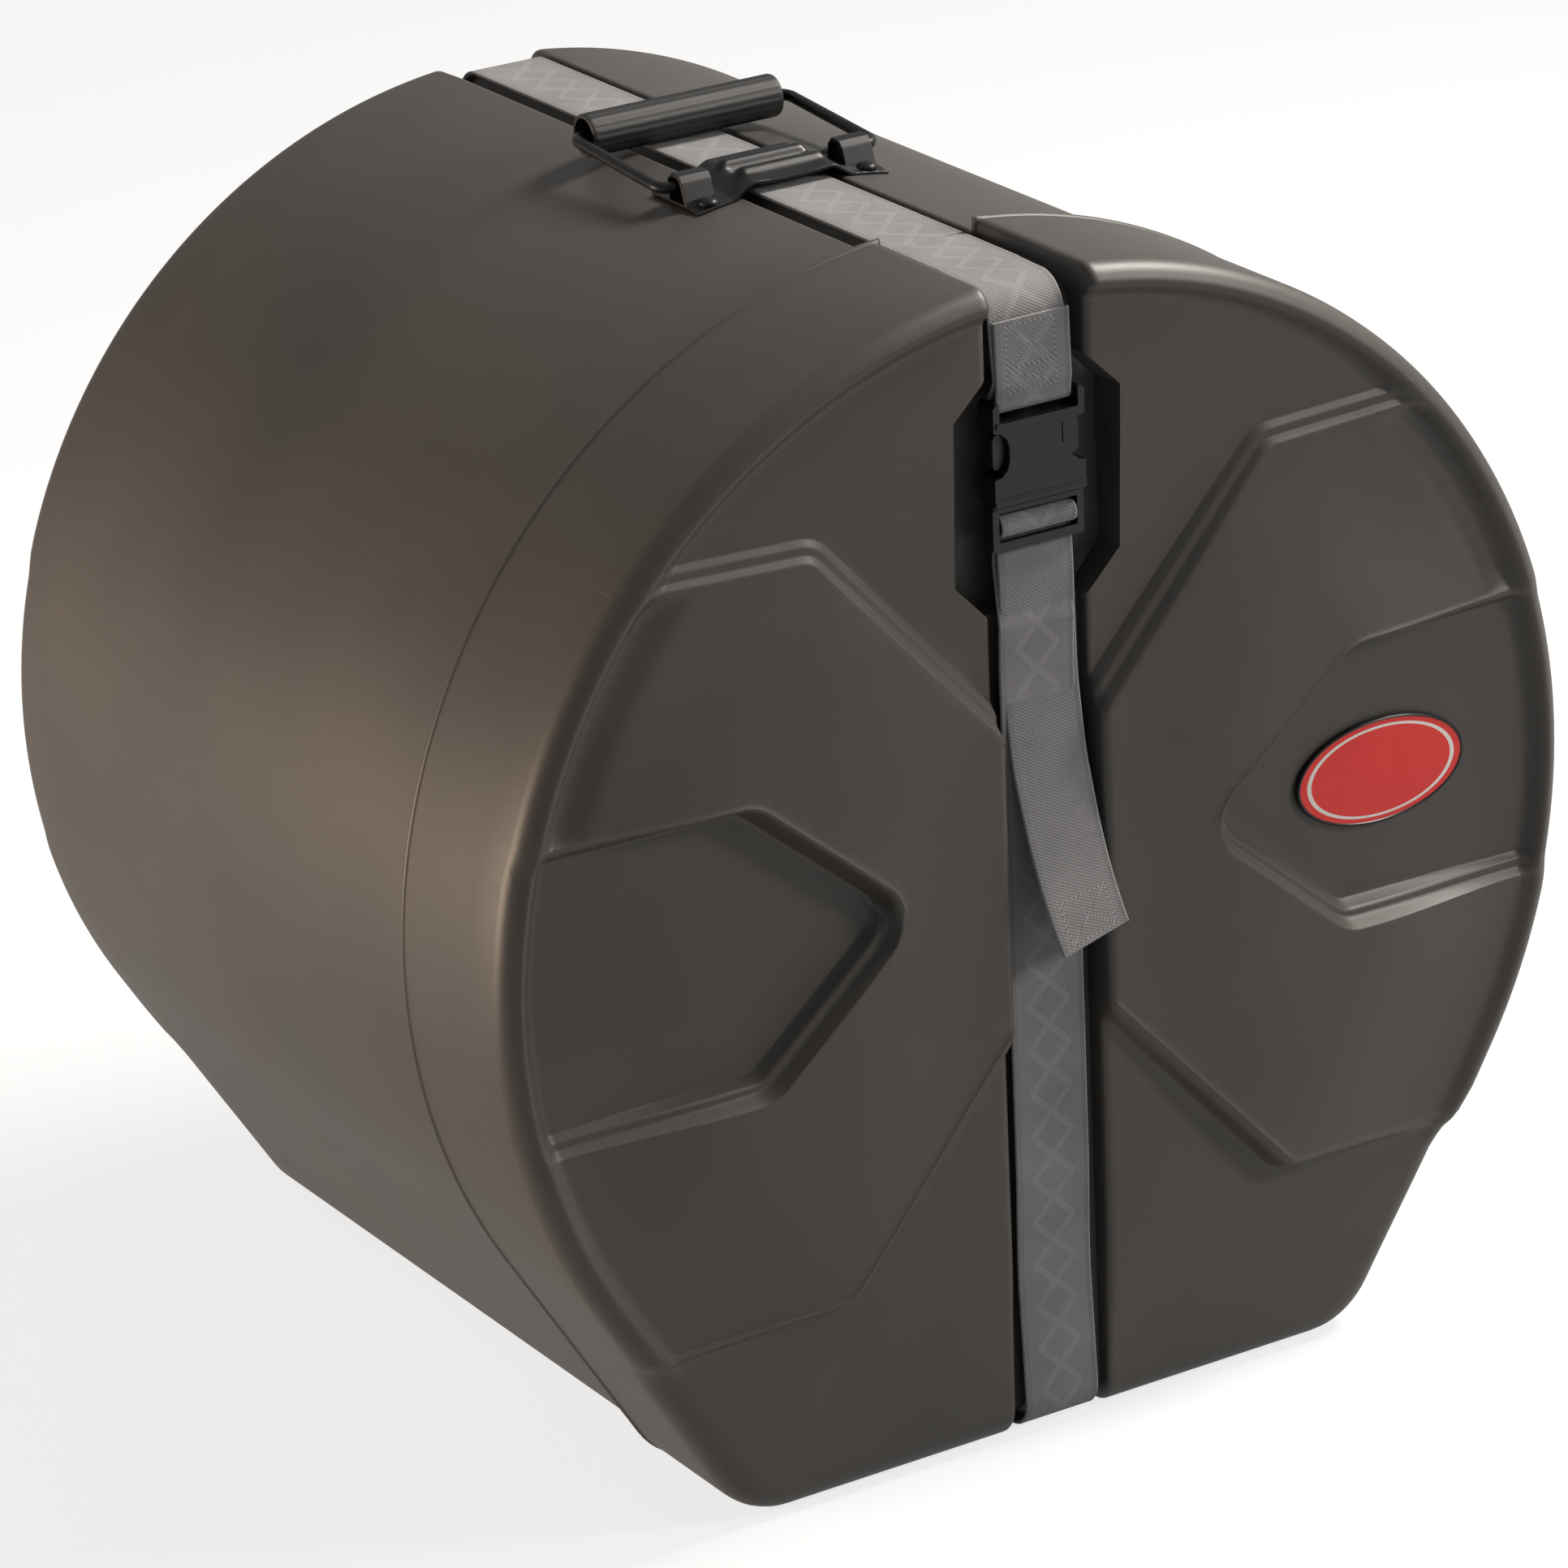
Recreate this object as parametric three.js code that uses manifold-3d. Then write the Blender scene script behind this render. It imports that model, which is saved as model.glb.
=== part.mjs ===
// Drum case: a round-topped body with a telescoping lid, a buckled strap that runs
// right round it in a channel, and a folding carry handle on top.
// Millimetres, Z up. The lid's face looks along -Y and the base rests on Z = 0.

import * as THREE from 'three';
import { mergeVertices } from 'three/addons/utils/BufferGeometryUtils.js';
import Module from 'manifold-3d';

const wasm = await Module();
wasm.setup();

// Overall shape
const caseDepth = 588;
const axisHeight = 331;
const bodyRadius = 337;
const lidStep = 8;
const sideTilt = THREE.MathUtils.degToRad(31);
const lidCorner = 48;
const bodyCorner = 34;
const lidDepth = 112;
const edgeRound = 14;
const leastCorner = 7;
const wall = 5;
const lidRadius = bodyRadius + lidStep;

// How the lid goes over the body
const touchGap = 0.3;
const slideClearance = 1.5;
const neckReach = 62;

// Moulded relief of both end faces, measured from the face plane and from its centre.
// Shares are of the lid's radius.
const faceRise = 4;
const rimWidth = 15;
const rimSlope = 7;
const fieldDepth = 13;
const lowerFieldDepth = 10;
const rimEndZ = 215;
const stepDepth = 6;
const stepBevel = 4;
const stepLedge = 7;
const ledgeDraft = 0.4;
const softBevel = 9;
const panelCornerShare = 0.4232;
const panelCornerZ = 211;
const panelWaistX = 33;
const panelWaistZ = 86.5;
const panelEndRise = 6;
const pocketDepth = 12;
const pocketCentreZ = 5;
const pocketHalf = 86;
const pocketCornerShare = 0.5507;
const pocketTipShare = 0.2609;
const pocketTipRadius = 22;
const panelCornerRadius = 12;
const sharpCorner = 0.4;

// Channel that carries the strap, and the deeper recess around the buckle
const channelHalf = 34;
const channelFaceDepth = 16.5;
const channelTopDepth = 5;
const channelBaseDepth = 6;
const channelBend = 14;
const leastBend = 2.5;
const recessDepth = 30;
const recessHalf = 53;
const recessAbove = 16.5;
const recessShoulder = 5;
const recessHeel = 98;
const recessBelow = 121;
const recessWaist = 32;
const recessBevel = 3;

// Foam lining
const liningThickness = 15;
const padDepth = 45;

// Webbing
const strapWidth = 48;
const strapThickness = 2;
const sewnLength = 44;
const loopSpread = 10;
const recessEase = 8;
const tailLength = 228;
const tailCurl = 26;
const tailDrift = 20;
const tailLead = 2.4;
const tailLeadShare = 0.16;
const tailCurlShare = 0.48;

// Side-release buckle
const buckleWidth = 58;
const buckleDrop = 60;
const socketLength = 57;
const socketThickness = 15;
const socketFrontDepth = 6;
const socketWall = 2.5;
const socketRound = 3;
const socketCeiling = 12;
const loopSlot = 5.5;
const loopBar = 5;
const windowHeight = 23;
const windowBase = 17;
const windowInset = 7;
const plugLength = 26;
const plugThickness = 8;
const plugShoulder = 5;
const plugRail = 4;
const lowerBar = 5;
const wrapBar = 7;
const lowerSlot = 5;
const prongThickness = 7;
const prongArm = 4.5;
const prongLength = 41;
const prongClearance = 3.5;
const padHeight = 20;
const padInset = 1.6;
const guideWidth = 9;
const guideLength = 31;

// Carry handle
const plateHalf = 62;
const plateWidth = 50;
const plateThickness = 2.5;
const plateFrontDepth = 242;
const plateArch = 6;
const plateBend = 12;
const archHalf = 25;
const archFoot = 40;
const ribWidth = 7;
const ribShoulder = 1.5;
const ribHalf = 24;
const ribSpacing = 20;
const bailRadius = 3.2;
const bailReach = 96;
const bailHalf = 70;
const bailBend = 9;
const knuckleRadius = 7.5;
const knuckleLength = 20;
const pivotLift = 9.5;
const gripRadius = 12.5;
const gripLength = 125;
const rivetRadius = 2.4;
const rivetHead = 4.6;
const rivetHeadHeight = 2;
const rivetX = 52;
const rivetInset = 7;
const washerRadius = 7;
const washerThickness = 1.5;
const runningGap = 0.4;

// Badge, left plain
const badgeShare = 0.6435;
const badgeHalfWidth = 57;
const badgeHalfHeight = 31;
const badgeThickness = 3;
const badgeRim = 5;
const badgeInlay = 1.6;

// Cut overrun, and how finely curves are divided
const overrun = 30;
const roundSteps = 40;
const cornerSteps = 5;
const edgeSteps = 4;
const bendSteps = 5;
const tubeSides = 16;
const tailSteps = 12;
const leastStep = 0.01;

// Places worked out from the sizes above
const frontY = -caseDepth / 2;
const rearY = caseDepth / 2;
const faceCentre = axisHeight + faceRise;
const bodyTop = axisHeight + bodyRadius;
const seamY = frontY + lidDepth;
const mouthY = seamY - neckReach;
const neckInset = wall + slideClearance;
const panelCornerX = panelCornerShare * lidRadius;
const pocketCornerX = pocketCornerShare * lidRadius;
const pocketTipX = pocketTipShare * lidRadius;
const badgeX = badgeShare * lidRadius;
const lidOutline = { radius: lidRadius, base: 0, corner: lidCorner };
const bodyOutline = { radius: bodyRadius, base: 0, corner: bodyCorner };
const neckOutline = { radius: bodyRadius - slideClearance, base: neckInset, corner: bodyCorner };
const strapLift = touchGap + strapThickness / 2;
const buckleTop = bodyTop - buckleDrop;
const buckleY = frontY + socketFrontDepth + socketThickness / 2;
const loopBarZ = buckleTop - loopBar / 2;
const plugTopZ = buckleTop - socketLength - touchGap;
const plugBottomZ = plugTopZ - plugLength;
const wrapBarZ = plugBottomZ + lowerBar + lowerSlot + wrapBar / 2 - touchGap;
const tailY = buckleY + strapLift;
const tailTopZ = plugBottomZ - touchGap;
const plateFrontY = frontY + plateFrontDepth;
const pivotY = plateFrontY + plateWidth / 2;
const facetSag = bodyRadius * (1 - Math.cos((Math.PI + 2 * sideTilt) / roundSteps / 2));
const washerTopZ = bodyTop - neckInset - touchGap - facetSag;
const pivotZ = axisHeight + Math.sqrt(bodyRadius ** 2 - rivetX ** 2) + pivotLift;
const strapFaceY = frontY + channelFaceDepth - strapLift;
const strapTopZ = bodyTop - channelTopDepth + strapLift;
const strapBaseZ = channelBaseDepth - strapLift;
const strapBend = channelBend + strapLift;

const materials = {
  caseShell: finish('#45413d', 0.55, 0),
  foam: finish('#2b2b2d', 0.95, 0),
  webbing: finish('#8a8785', 0.85, 0),
  buckle: finish('#161617', 0.35, 0),
  steel: finish('#1d1d1f', 0.4, 0.6),
  grip: finish('#1a1a1b', 0.6, 0),
  badgeBase: finish('#111112', 0.4, 0),
  badgeFace: finish('#e2322c', 0.3, 0),
};

function finish(color, roughness, metalness) {
  return new THREE.MeshStandardMaterial({ color, roughness, metalness });
}

// Closed loops of points, each convex, become one closed body from the first ring to the last

function loft(rings) {
  const count = rings[0].length;
  const last = (rings.length - 1) * count;
  const index = [];
  for (let k = 0; k + 1 < rings.length; k++) {
    for (let i = 0; i < count; i++) {
      const a = k * count + i;
      const b = k * count + (i + 1) % count;
      index.push(a, a + count, b + count, a, b + count, b);
    }
  }
  for (let i = 1; i + 1 < count; i++) {
    index.push(0, i, i + 1, last, last + i + 1, last + i);
  }
  const geometry = new THREE.BufferGeometry();
  const positions = rings.flat().flatMap((point) => point.toArray());
  geometry.setAttribute('position', new THREE.Float32BufferAttribute(positions, 3));
  geometry.setIndex(index);
  return geometry;
}

function solid(geometry) {
  const plain = geometry.clone();
  plain.deleteAttribute('normal');
  plain.deleteAttribute('uv');
  const merged = mergeVertices(plain);
  return new wasm.Manifold(new wasm.Mesh({
    numProp: 3,
    vertProperties: new Float32Array(merged.attributes.position.array),
    triVerts: new Uint32Array(merged.index.array),
  }));
}

function geometryOf(body) {
  const mesh = body.getMesh();
  const geometry = new THREE.BufferGeometry();
  geometry.setAttribute('position', new THREE.BufferAttribute(mesh.vertProperties, 3));
  geometry.setIndex(new THREE.BufferAttribute(mesh.triVerts, 1));
  geometry.computeVertexNormals();
  return geometry;
}

function union(bodies) {
  return bodies.reduce((whole, body) => whole.add(body));
}

function block(lowX, highX, lowY, highY, lowZ, highZ) {
  const geometry = new THREE.BoxGeometry(highX - lowX, highY - lowY, highZ - lowZ);
  geometry.translate((lowX + highX) / 2, (lowY + highY) / 2, (lowZ + highZ) / 2);
  return solid(geometry);
}

function rodAlongX(radius, lowX, highX, y, z) {
  const geometry = new THREE.CylinderGeometry(radius, radius, highX - lowX, tubeSides);
  geometry.rotateZ(Math.PI / 2);
  geometry.translate((lowX + highX) / 2, y, z);
  return solid(geometry);
}

// An outline drawn across the case, pushed along X; or drawn on its face, pushed along Y

function extrudeX(outline, lowX, highX) {
  const shape = new THREE.Shape(outline);
  const geometry = new THREE.ExtrudeGeometry(shape, { depth: highX - lowX, bevelEnabled: false });
  geometry.applyMatrix4(new THREE.Matrix4().makeBasis(
    new THREE.Vector3(0, 1, 0), new THREE.Vector3(0, 0, 1), new THREE.Vector3(1, 0, 0)));
  geometry.translate(lowX, 0, 0);
  return solid(geometry);
}

function extrudeY(outline, lowY, highY) {
  const shape = new THREE.Shape(outline);
  const geometry = new THREE.ExtrudeGeometry(shape, { depth: highY - lowY, bevelEnabled: false });
  geometry.applyMatrix4(new THREE.Matrix4().makeBasis(
    new THREE.Vector3(1, 0, 0), new THREE.Vector3(0, 0, 1), new THREE.Vector3(0, -1, 0)));
  geometry.translate(0, highY, 0);
  return solid(geometry);
}

// Rounds the corners of a path or a loop of 2-D points

function roundedPath(points, radii) {
  const path = [points[0]];
  for (let i = 1; i + 1 < points.length; i++) {
    path.push(...roundedCorner(points[i - 1], points[i], points[i + 1], radii[i - 1]));
  }
  path.push(points.at(-1));
  return path.filter((point, i) => i === 0 || point.distanceTo(path[i - 1]) > leastStep);
}

function roundedLoop(points, radii) {
  return points.flatMap((corner, i) => {
    const before = points[(i + points.length - 1) % points.length];
    return roundedCorner(before, corner, points[(i + 1) % points.length], radii[i]);
  });
}

function roundedCorner(before, corner, after, radius) {
  const back = before.clone().sub(corner);
  const ahead = after.clone().sub(corner);
  const half = Math.acos(back.dot(ahead) / (back.length() * ahead.length())) / 2;
  const reach = Math.min(radius / Math.tan(half), back.length() / 2, ahead.length() / 2);
  const start = corner.clone().addScaledVector(back.normalize(), reach);
  const end = corner.clone().addScaledVector(ahead.normalize(), reach);
  return arcBetween(start, corner, end, reach * Math.tan(half));
}

function arcBetween(start, corner, end, radius) {
  const inward = start.clone().add(end).multiplyScalar(0.5).sub(corner).normalize();
  const halfChord = start.distanceTo(end) / 2;
  const middle = start.clone().add(end).multiplyScalar(0.5);
  const rise = Math.sqrt(Math.max(radius * radius - halfChord * halfChord, 0));
  const centre = middle.addScaledVector(inward, rise);
  const first = start.clone().sub(centre).angle();
  let sweep = end.clone().sub(centre).angle() - first;
  sweep = Math.atan2(Math.sin(sweep), Math.cos(sweep));
  const curve = [];
  for (let i = 0; i <= bendSteps; i++) {
    const angle = first + sweep * i / bendSteps;
    curve.push(new THREE.Vector2(Math.cos(angle), Math.sin(angle)).multiplyScalar(radius).add(centre));
  }
  return curve;
}

// The outline of a strip of even thickness that follows a path

function stripOutline(path, thickness) {
  const sides = [[], []];
  path.forEach((point, i) => {
    const back = i > 0 ? point.clone().sub(path[i - 1]).normalize() : null;
    const ahead = i + 1 < path.length ? path[i + 1].clone().sub(point).normalize() : null;
    const along = (back ?? ahead).clone().add(ahead ?? back).normalize();
    const across = new THREE.Vector2(-along.y, along.x);
    const mitre = across.dot(new THREE.Vector2(-(ahead ?? back).y, (ahead ?? back).x));
    const reach = thickness / 2 / mitre;
    sides[0].push(point.clone().addScaledVector(across, reach));
    sides[1].push(point.clone().addScaledVector(across, -reach));
  });
  return [...sides[1], ...sides[0].reverse()];
}

// The case's outline: round above, straight tapering sides, a flat base with rounded corners

function caseRing({ radius, base, corner }, inset, y) {
  const round = radius - inset;
  const bend = Math.max(corner - inset, leastCorner);
  const bendZ = base + inset + bend;
  const bendX = (round - bend + Math.sin(sideTilt) * (bendZ - axisHeight)) / Math.cos(sideTilt);
  const right = [];
  for (let i = 0; i <= cornerSteps; i++) {
    const angle = -Math.PI / 2 + (Math.PI / 2 - sideTilt) * i / cornerSteps;
    right.push([bendX + bend * Math.cos(angle), bendZ + bend * Math.sin(angle)]);
  }
  const ring = right.map(([x, z]) => new THREE.Vector3(x, y, z));
  for (let i = 0; i <= roundSteps; i++) {
    const angle = -sideTilt + (Math.PI + 2 * sideTilt) * i / roundSteps;
    ring.push(new THREE.Vector3(round * Math.cos(angle), y, axisHeight + round * Math.sin(angle)));
  }
  right.reverse();
  return ring.concat(right.map(([x, z]) => new THREE.Vector3(-x, y, z)));
}

function caseSolid(outline, inset, lowY, highY) {
  return solid(loft([caseRing(outline, inset, lowY), caseRing(outline, inset, highY)]));
}

// The same, closed by a flat face at its low end and rounded where it meets that face

function facedSolid(outline, inset, faceY, highY) {
  const round = edgeRound - inset;
  const rings = [];
  for (let i = 0; i <= edgeSteps; i++) {
    const angle = Math.PI / 2 * i / edgeSteps;
    rings.push(caseRing(outline, inset + round * (1 - Math.sin(angle)),
      faceY + round * (1 - Math.cos(angle))));
  }
  rings.push(caseRing(outline, inset, highY));
  return solid(loft(rings));
}

// A convex polygon on the face, its points anticlockwise seen from the front, whose edges
// draw in by their own amount at each depth. Edge i runs from point i to the next.

function steppedPrism(points, insets, depths, radii) {
  const rings = depths.map((depth, level) => {
    const drawn = points.map((point, i) => {
      const before = (i + points.length - 1) % points.length;
      return crossing(edgeLine(points, before, insets[before][level]),
        edgeLine(points, i, insets[i][level]));
    });
    return roundedLoop(drawn, radii).map((point) => (
      new THREE.Vector3(point.x, frontY + depth, faceCentre + point.y)));
  });
  return solid(loft(rings));
}

function edgeLine(points, i, inset) {
  const along = points[(i + 1) % points.length].clone().sub(points[i]).normalize();
  const inward = new THREE.Vector2(-along.y, along.x);
  return { start: points[i].clone().addScaledVector(inward, inset), along };
}

function crossing(a, b) {
  const gap = b.start.clone().sub(a.start);
  return a.start.clone().addScaledVector(a.along, gap.cross(b.along) / a.along.cross(b.along));
}

// What is drawn on the right half of the face, and its mirror image on the left

function bothSides(half) {
  return half.add(half.mirror([1, 0, 0]));
}

// How far a stepped edge and a soft edge have drawn in at the top of the panel, at the
// two sides of the ledge, at the floor and behind it

const steppedInsets = [stepBevel + stepLedge + stepBevel, stepBevel + stepLedge, stepBevel, 0, 0];
const softShares = [1, 0.55, 0.45, 0, 0];
const softInsets = softShares.map((share) => share * softBevel);

// Raised panels: the upper edges step down twice, the lower edges slope once

function panels(shrink) {
  const slope = (panelCornerZ - panelWaistZ) / (panelCornerX - panelWaistX);
  const middleZ = panelWaistZ - slope * panelWaistX;
  const endZ = panelCornerZ + panelEndRise;
  const outerX = lidRadius + overrun;
  const upperOut = steppedInsets[0];
  const lowerOut = softInsets[0];
  const points = [
    new THREE.Vector2(0, -middleZ - lowerOut),
    new THREE.Vector2(panelCornerX, -panelCornerZ - lowerOut),
    new THREE.Vector2(outerX, -endZ - lowerOut),
    new THREE.Vector2(outerX, endZ + upperOut),
    new THREE.Vector2(panelCornerX, panelCornerZ + upperOut),
    new THREE.Vector2(0, middleZ + upperOut),
  ];
  const open = softInsets.map(() => 0);
  const lower = softInsets.map((inset) => inset + shrink);
  const upper = steppedInsets.map((inset) => inset + shrink);
  const depths = [0, stepDepth, stepDepth + ledgeDraft, fieldDepth, fieldDepth + overrun];
  const radii = [sharpCorner, panelCornerRadius, sharpCorner, sharpCorner, panelCornerRadius, sharpCorner];
  return bothSides(steppedPrism(points, [lower, lower, open, upper, upper, open],
    depths.map((depth) => depth + shrink), radii));
}

// Pockets sunk into the panels and open to the rim: soft edges above, stepped below

function pockets(grow) {
  const outerX = lidRadius + overrun;
  const points = [
    new THREE.Vector2(pocketTipX, pocketCentreZ),
    new THREE.Vector2(pocketCornerX, pocketCentreZ - pocketHalf),
    new THREE.Vector2(outerX, pocketCentreZ - pocketHalf),
    new THREE.Vector2(outerX, pocketCentreZ + pocketHalf),
    new THREE.Vector2(pocketCornerX, pocketCentreZ + pocketHalf),
  ];
  const inwards = (insets) => [...insets].reverse().map((inset) => inset - grow);
  const open = softInsets.map(() => 0);
  const lower = inwards(steppedInsets);
  const upper = inwards(softInsets);
  const depths = [-overrun, 0, stepDepth, stepDepth + ledgeDraft, pocketDepth];
  const radii = [pocketTipRadius, panelCornerRadius, sharpCorner, sharpCorner, panelCornerRadius];
  return bothSides(steppedPrism(points, [lower, lower, open, upper, upper],
    depths.map((depth) => depth + grow), radii));
}

// A closed end of the case, drawn in by an inset for its inner side: two sunk fields, with the
// rim and the panels standing on them. The rim stops where the lower field begins.

function endForm(outline, inset, backY) {
  const half = lidRadius + overrun;
  const within = solid(loft([
    caseRing(outline, rimWidth - inset, frontY - overrun),
    caseRing(outline, rimWidth - inset, frontY),
    caseRing(outline, rimWidth + rimSlope - inset, frontY + fieldDepth + inset),
  ]));
  const fieldY = frontY + fieldDepth + inset;
  const joinY = fieldY + edgeRound;
  const rimZone = block(-half, half, frontY - overrun, joinY, faceCentre - rimEndZ + inset,
    bodyTop + overrun);
  const lowZone = block(-half, half, frontY - overrun, joinY, -overrun, faceCentre - panelWaistZ);
  const lower = facedSolid(outline, inset, frontY + lowerFieldDepth + inset, joinY).intersect(lowZone);
  const raised = facedSolid(outline, inset, frontY + inset, joinY)
    .intersect(rimZone.subtract(within).add(panels(inset)));
  return facedSolid(outline, inset, fieldY, backY).add(lower).add(raised)
    .subtract(pockets(inset).intersect(within));
}

function recess(grow) {
  const buckleZ = buckleTop - faceCentre;
  const right = [
    new THREE.Vector2(recessWaist, buckleZ - recessBelow),
    new THREE.Vector2(recessHalf, buckleZ - recessHeel),
    new THREE.Vector2(recessHalf, buckleZ - recessShoulder),
    new THREE.Vector2(recessWaist, buckleZ + recessAbove),
  ];
  const points = [...right, ...right.map((point) => new THREE.Vector2(-point.x, point.y)).reverse()];
  const edge = [-grow, recessBevel - grow];
  return steppedPrism(points, points.map(() => edge), [-overrun, recessDepth + grow],
    points.map(() => recessBevel));
}

// The strap's channel: all that lies outside a rounded core, between its side walls

function channel(grow) {
  const lowY = frontY + channelFaceDepth + grow;
  const lowZ = channelBaseDepth + grow;
  const highZ = bodyTop - channelTopDepth - grow;
  const core = [
    new THREE.Vector2(lowY, lowZ),
    new THREE.Vector2(-lowY, lowZ),
    new THREE.Vector2(-lowY, highZ),
    new THREE.Vector2(lowY, highZ),
  ];
  const half = channelHalf + grow;
  const around = block(-half, half, frontY - overrun, rearY + overrun, -overrun, bodyTop + overrun);
  const radii = core.map(() => Math.max(channelBend - grow, leastBend));
  return around.subtract(extrudeX(roundedLoop(core, radii), -half - overrun, half + overrun));
}

const turned = (body) => body.rotate([0, 0, 180]);

// Shells

function lidShell() {
  return lidForm(0, seamY).subtract(lidForm(wall, seamY + overrun));
}

function lidForm(inset, backY) {
  return endForm(lidOutline, inset, backY).subtract(recess(inset).add(channel(inset)));
}

function bodyShell() {
  const mainFront = seamY + touchGap;
  const main = turned(endForm(bodyOutline, 0, -mainFront));
  const neck = caseSolid(neckOutline, 0, mouthY, mainFront + wall).subtract(channel(neckInset));
  const outside = main.subtract(channel(0)).add(neck);
  return outside.subtract(bodyHollow()).subtract(union(rivets(runningGap)));
}

function bodyHollow() {
  const shoulderY = seamY + touchGap + neckInset;
  const main = turned(endForm(bodyOutline, neckInset, -shoulderY)).subtract(channel(neckInset));
  const neck = caseSolid(neckOutline, wall, mouthY - overrun, shoulderY + wall)
    .subtract(channel(neckInset + wall));
  return main.add(neck);
}

// Foam: a sheet against the fields of each end, and a lining round the body's wall

function endPad(outline, inset) {
  return facedSolid(outline, inset, frontY + fieldDepth + inset, frontY + padDepth);
}

function lidPad() {
  const inset = wall + touchGap;
  return endPad(lidOutline, inset).subtract(recess(inset).add(channel(inset)));
}

function bodyPad() {
  const inset = neckInset + touchGap;
  return turned(endPad(bodyOutline, inset)).subtract(channel(inset));
}

function bodyLining() {
  const inset = neckInset + touchGap;
  const shoulderY = seamY + touchGap + inset;
  const main = caseSolid(bodyOutline, inset, shoulderY, rearY - padDepth - touchGap)
    .subtract(channel(inset));
  const neck = caseSolid(neckOutline, wall + touchGap, mouthY + touchGap, shoulderY + wall)
    .subtract(channel(inset + wall));
  const inside = caseSolid(neckOutline, wall + touchGap + liningThickness, mouthY - overrun, rearY);
  const relief = rod(washerRadius + runningGap, bodyTop - inset - liningThickness - wall, bodyTop);
  return main.add(neck).subtract(inside).subtract(union(rivetPlaces().map((place) => place(relief))));
}

// Straps

function ribbon(path, radii) {
  const outline = stripOutline(roundedPath(path, radii), strapThickness);
  return extrudeX(outline, -strapWidth / 2, strapWidth / 2);
}

function bodyStrap() {
  const startY = seamY + touchGap;
  return ribbon([
    new THREE.Vector2(startY, strapBaseZ),
    new THREE.Vector2(-strapFaceY, strapBaseZ),
    new THREE.Vector2(-strapFaceY, strapTopZ),
    new THREE.Vector2(startY, strapTopZ),
  ], [strapBend, strapBend]);
}

// From the top of the lid down to the socket, round its bar, and sewn back on itself

function upperStrap() {
  const turn = loopBar / 2 + strapLift;
  const spreadZ = loopBarZ + loopSpread;
  const frontLayerY = strapFaceY - strapThickness - touchGap;
  return ribbon([
    new THREE.Vector2(seamY, strapTopZ),
    new THREE.Vector2(strapFaceY, strapTopZ),
    new THREE.Vector2(strapFaceY, spreadZ),
    new THREE.Vector2(buckleY + turn, loopBarZ),
    new THREE.Vector2(buckleY + turn, loopBarZ - turn),
    new THREE.Vector2(buckleY - turn, loopBarZ - turn),
    new THREE.Vector2(buckleY - turn, loopBarZ),
    new THREE.Vector2(frontLayerY, spreadZ),
    new THREE.Vector2(frontLayerY, loopBarZ + sewnLength),
  ], [strapBend, turn, turn, turn, turn, turn, turn]);
}

// From the base up the face, behind the plug, over its bar and back out to the tail

function lowerStrap() {
  const turn = wrapBar / 2 + strapLift;
  const behindY = buckleY + turn;
  return ribbon([
    new THREE.Vector2(seamY, strapBaseZ),
    new THREE.Vector2(strapFaceY, strapBaseZ),
    new THREE.Vector2(strapFaceY, buckleTop - recessBelow + recessBevel + recessEase),
    new THREE.Vector2(behindY, buckleTop - recessHeel + recessEase),
    new THREE.Vector2(behindY, wrapBarZ + turn),
    new THREE.Vector2(buckleY - turn, wrapBarZ + turn),
    new THREE.Vector2(buckleY - turn, wrapBarZ - turn),
    new THREE.Vector2(tailY, wrapBarZ - turn),
    new THREE.Vector2(tailY, plugBottomZ),
  ], [strapBend, strapBend, strapBend, turn, turn, turn, strapThickness]);
}

// The loose end: it hangs from the plug, then curls away from the face and to the right

function tailStrap() {
  const rings = [];
  const centre = (s) => new THREE.Vector3(
    tailDrift * s ** 6,
    tailY - tailLead * Math.min(s / tailLeadShare, 1)
      - tailCurl * Math.max((s - tailCurlShare) / (1 - tailCurlShare), 0) ** 2,
    tailTopZ - tailLength * s);
  for (let i = 0; i <= tailSteps; i++) {
    const s = i / tailSteps;
    const small = 1 / tailSteps / tailSteps;
    const along = centre(s + small).sub(centre(s - small)).normalize();
    const across = new THREE.Vector3(-along.z, 0, along.x).normalize();
    const out = across.clone().cross(along).normalize();
    const corner = (u, v) => centre(s).addScaledVector(across, u * strapWidth / 2)
      .addScaledVector(out, v * strapThickness / 2);
    rings.push([corner(1, 1), corner(-1, 1), corner(-1, -1), corner(1, -1)]);
  }
  return solid(loft(rings));
}

// Buckle

function socket() {
  const half = buckleWidth / 2;
  const lowZ = buckleTop - socketLength;
  const frontDepth = frontY + socketFrontDepth;
  const outline = [
    new THREE.Vector2(-half, lowZ),
    new THREE.Vector2(half, lowZ),
    new THREE.Vector2(half, buckleTop),
    new THREE.Vector2(-half, buckleTop),
  ];
  const inner = half - plugRail;
  const backY = frontDepth + socketThickness;
  const ceiling = buckleTop - socketCeiling;
  const windowZ = lowZ + windowBase;
  const loopZ = buckleTop - loopBar - loopSlot;
  return extrudeY(roundedLoop(outline, outline.map(() => socketRound)), frontDepth, backY)
    .subtract(block(-inner, inner, frontDepth + socketWall, backY - socketWall, lowZ - overrun, ceiling))
    .subtract(bothSides(block(half - windowInset, half + overrun, frontY - overrun, backY + overrun,
      windowZ, windowZ + windowHeight)))
    .subtract(block(-inner, inner, frontY - overrun, backY + overrun, loopZ, buckleTop + overrun))
    .add(rodAlongX(loopBar / 2, -inner - plugRail / 2, inner + plugRail / 2, buckleY, loopBarZ));
}

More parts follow.
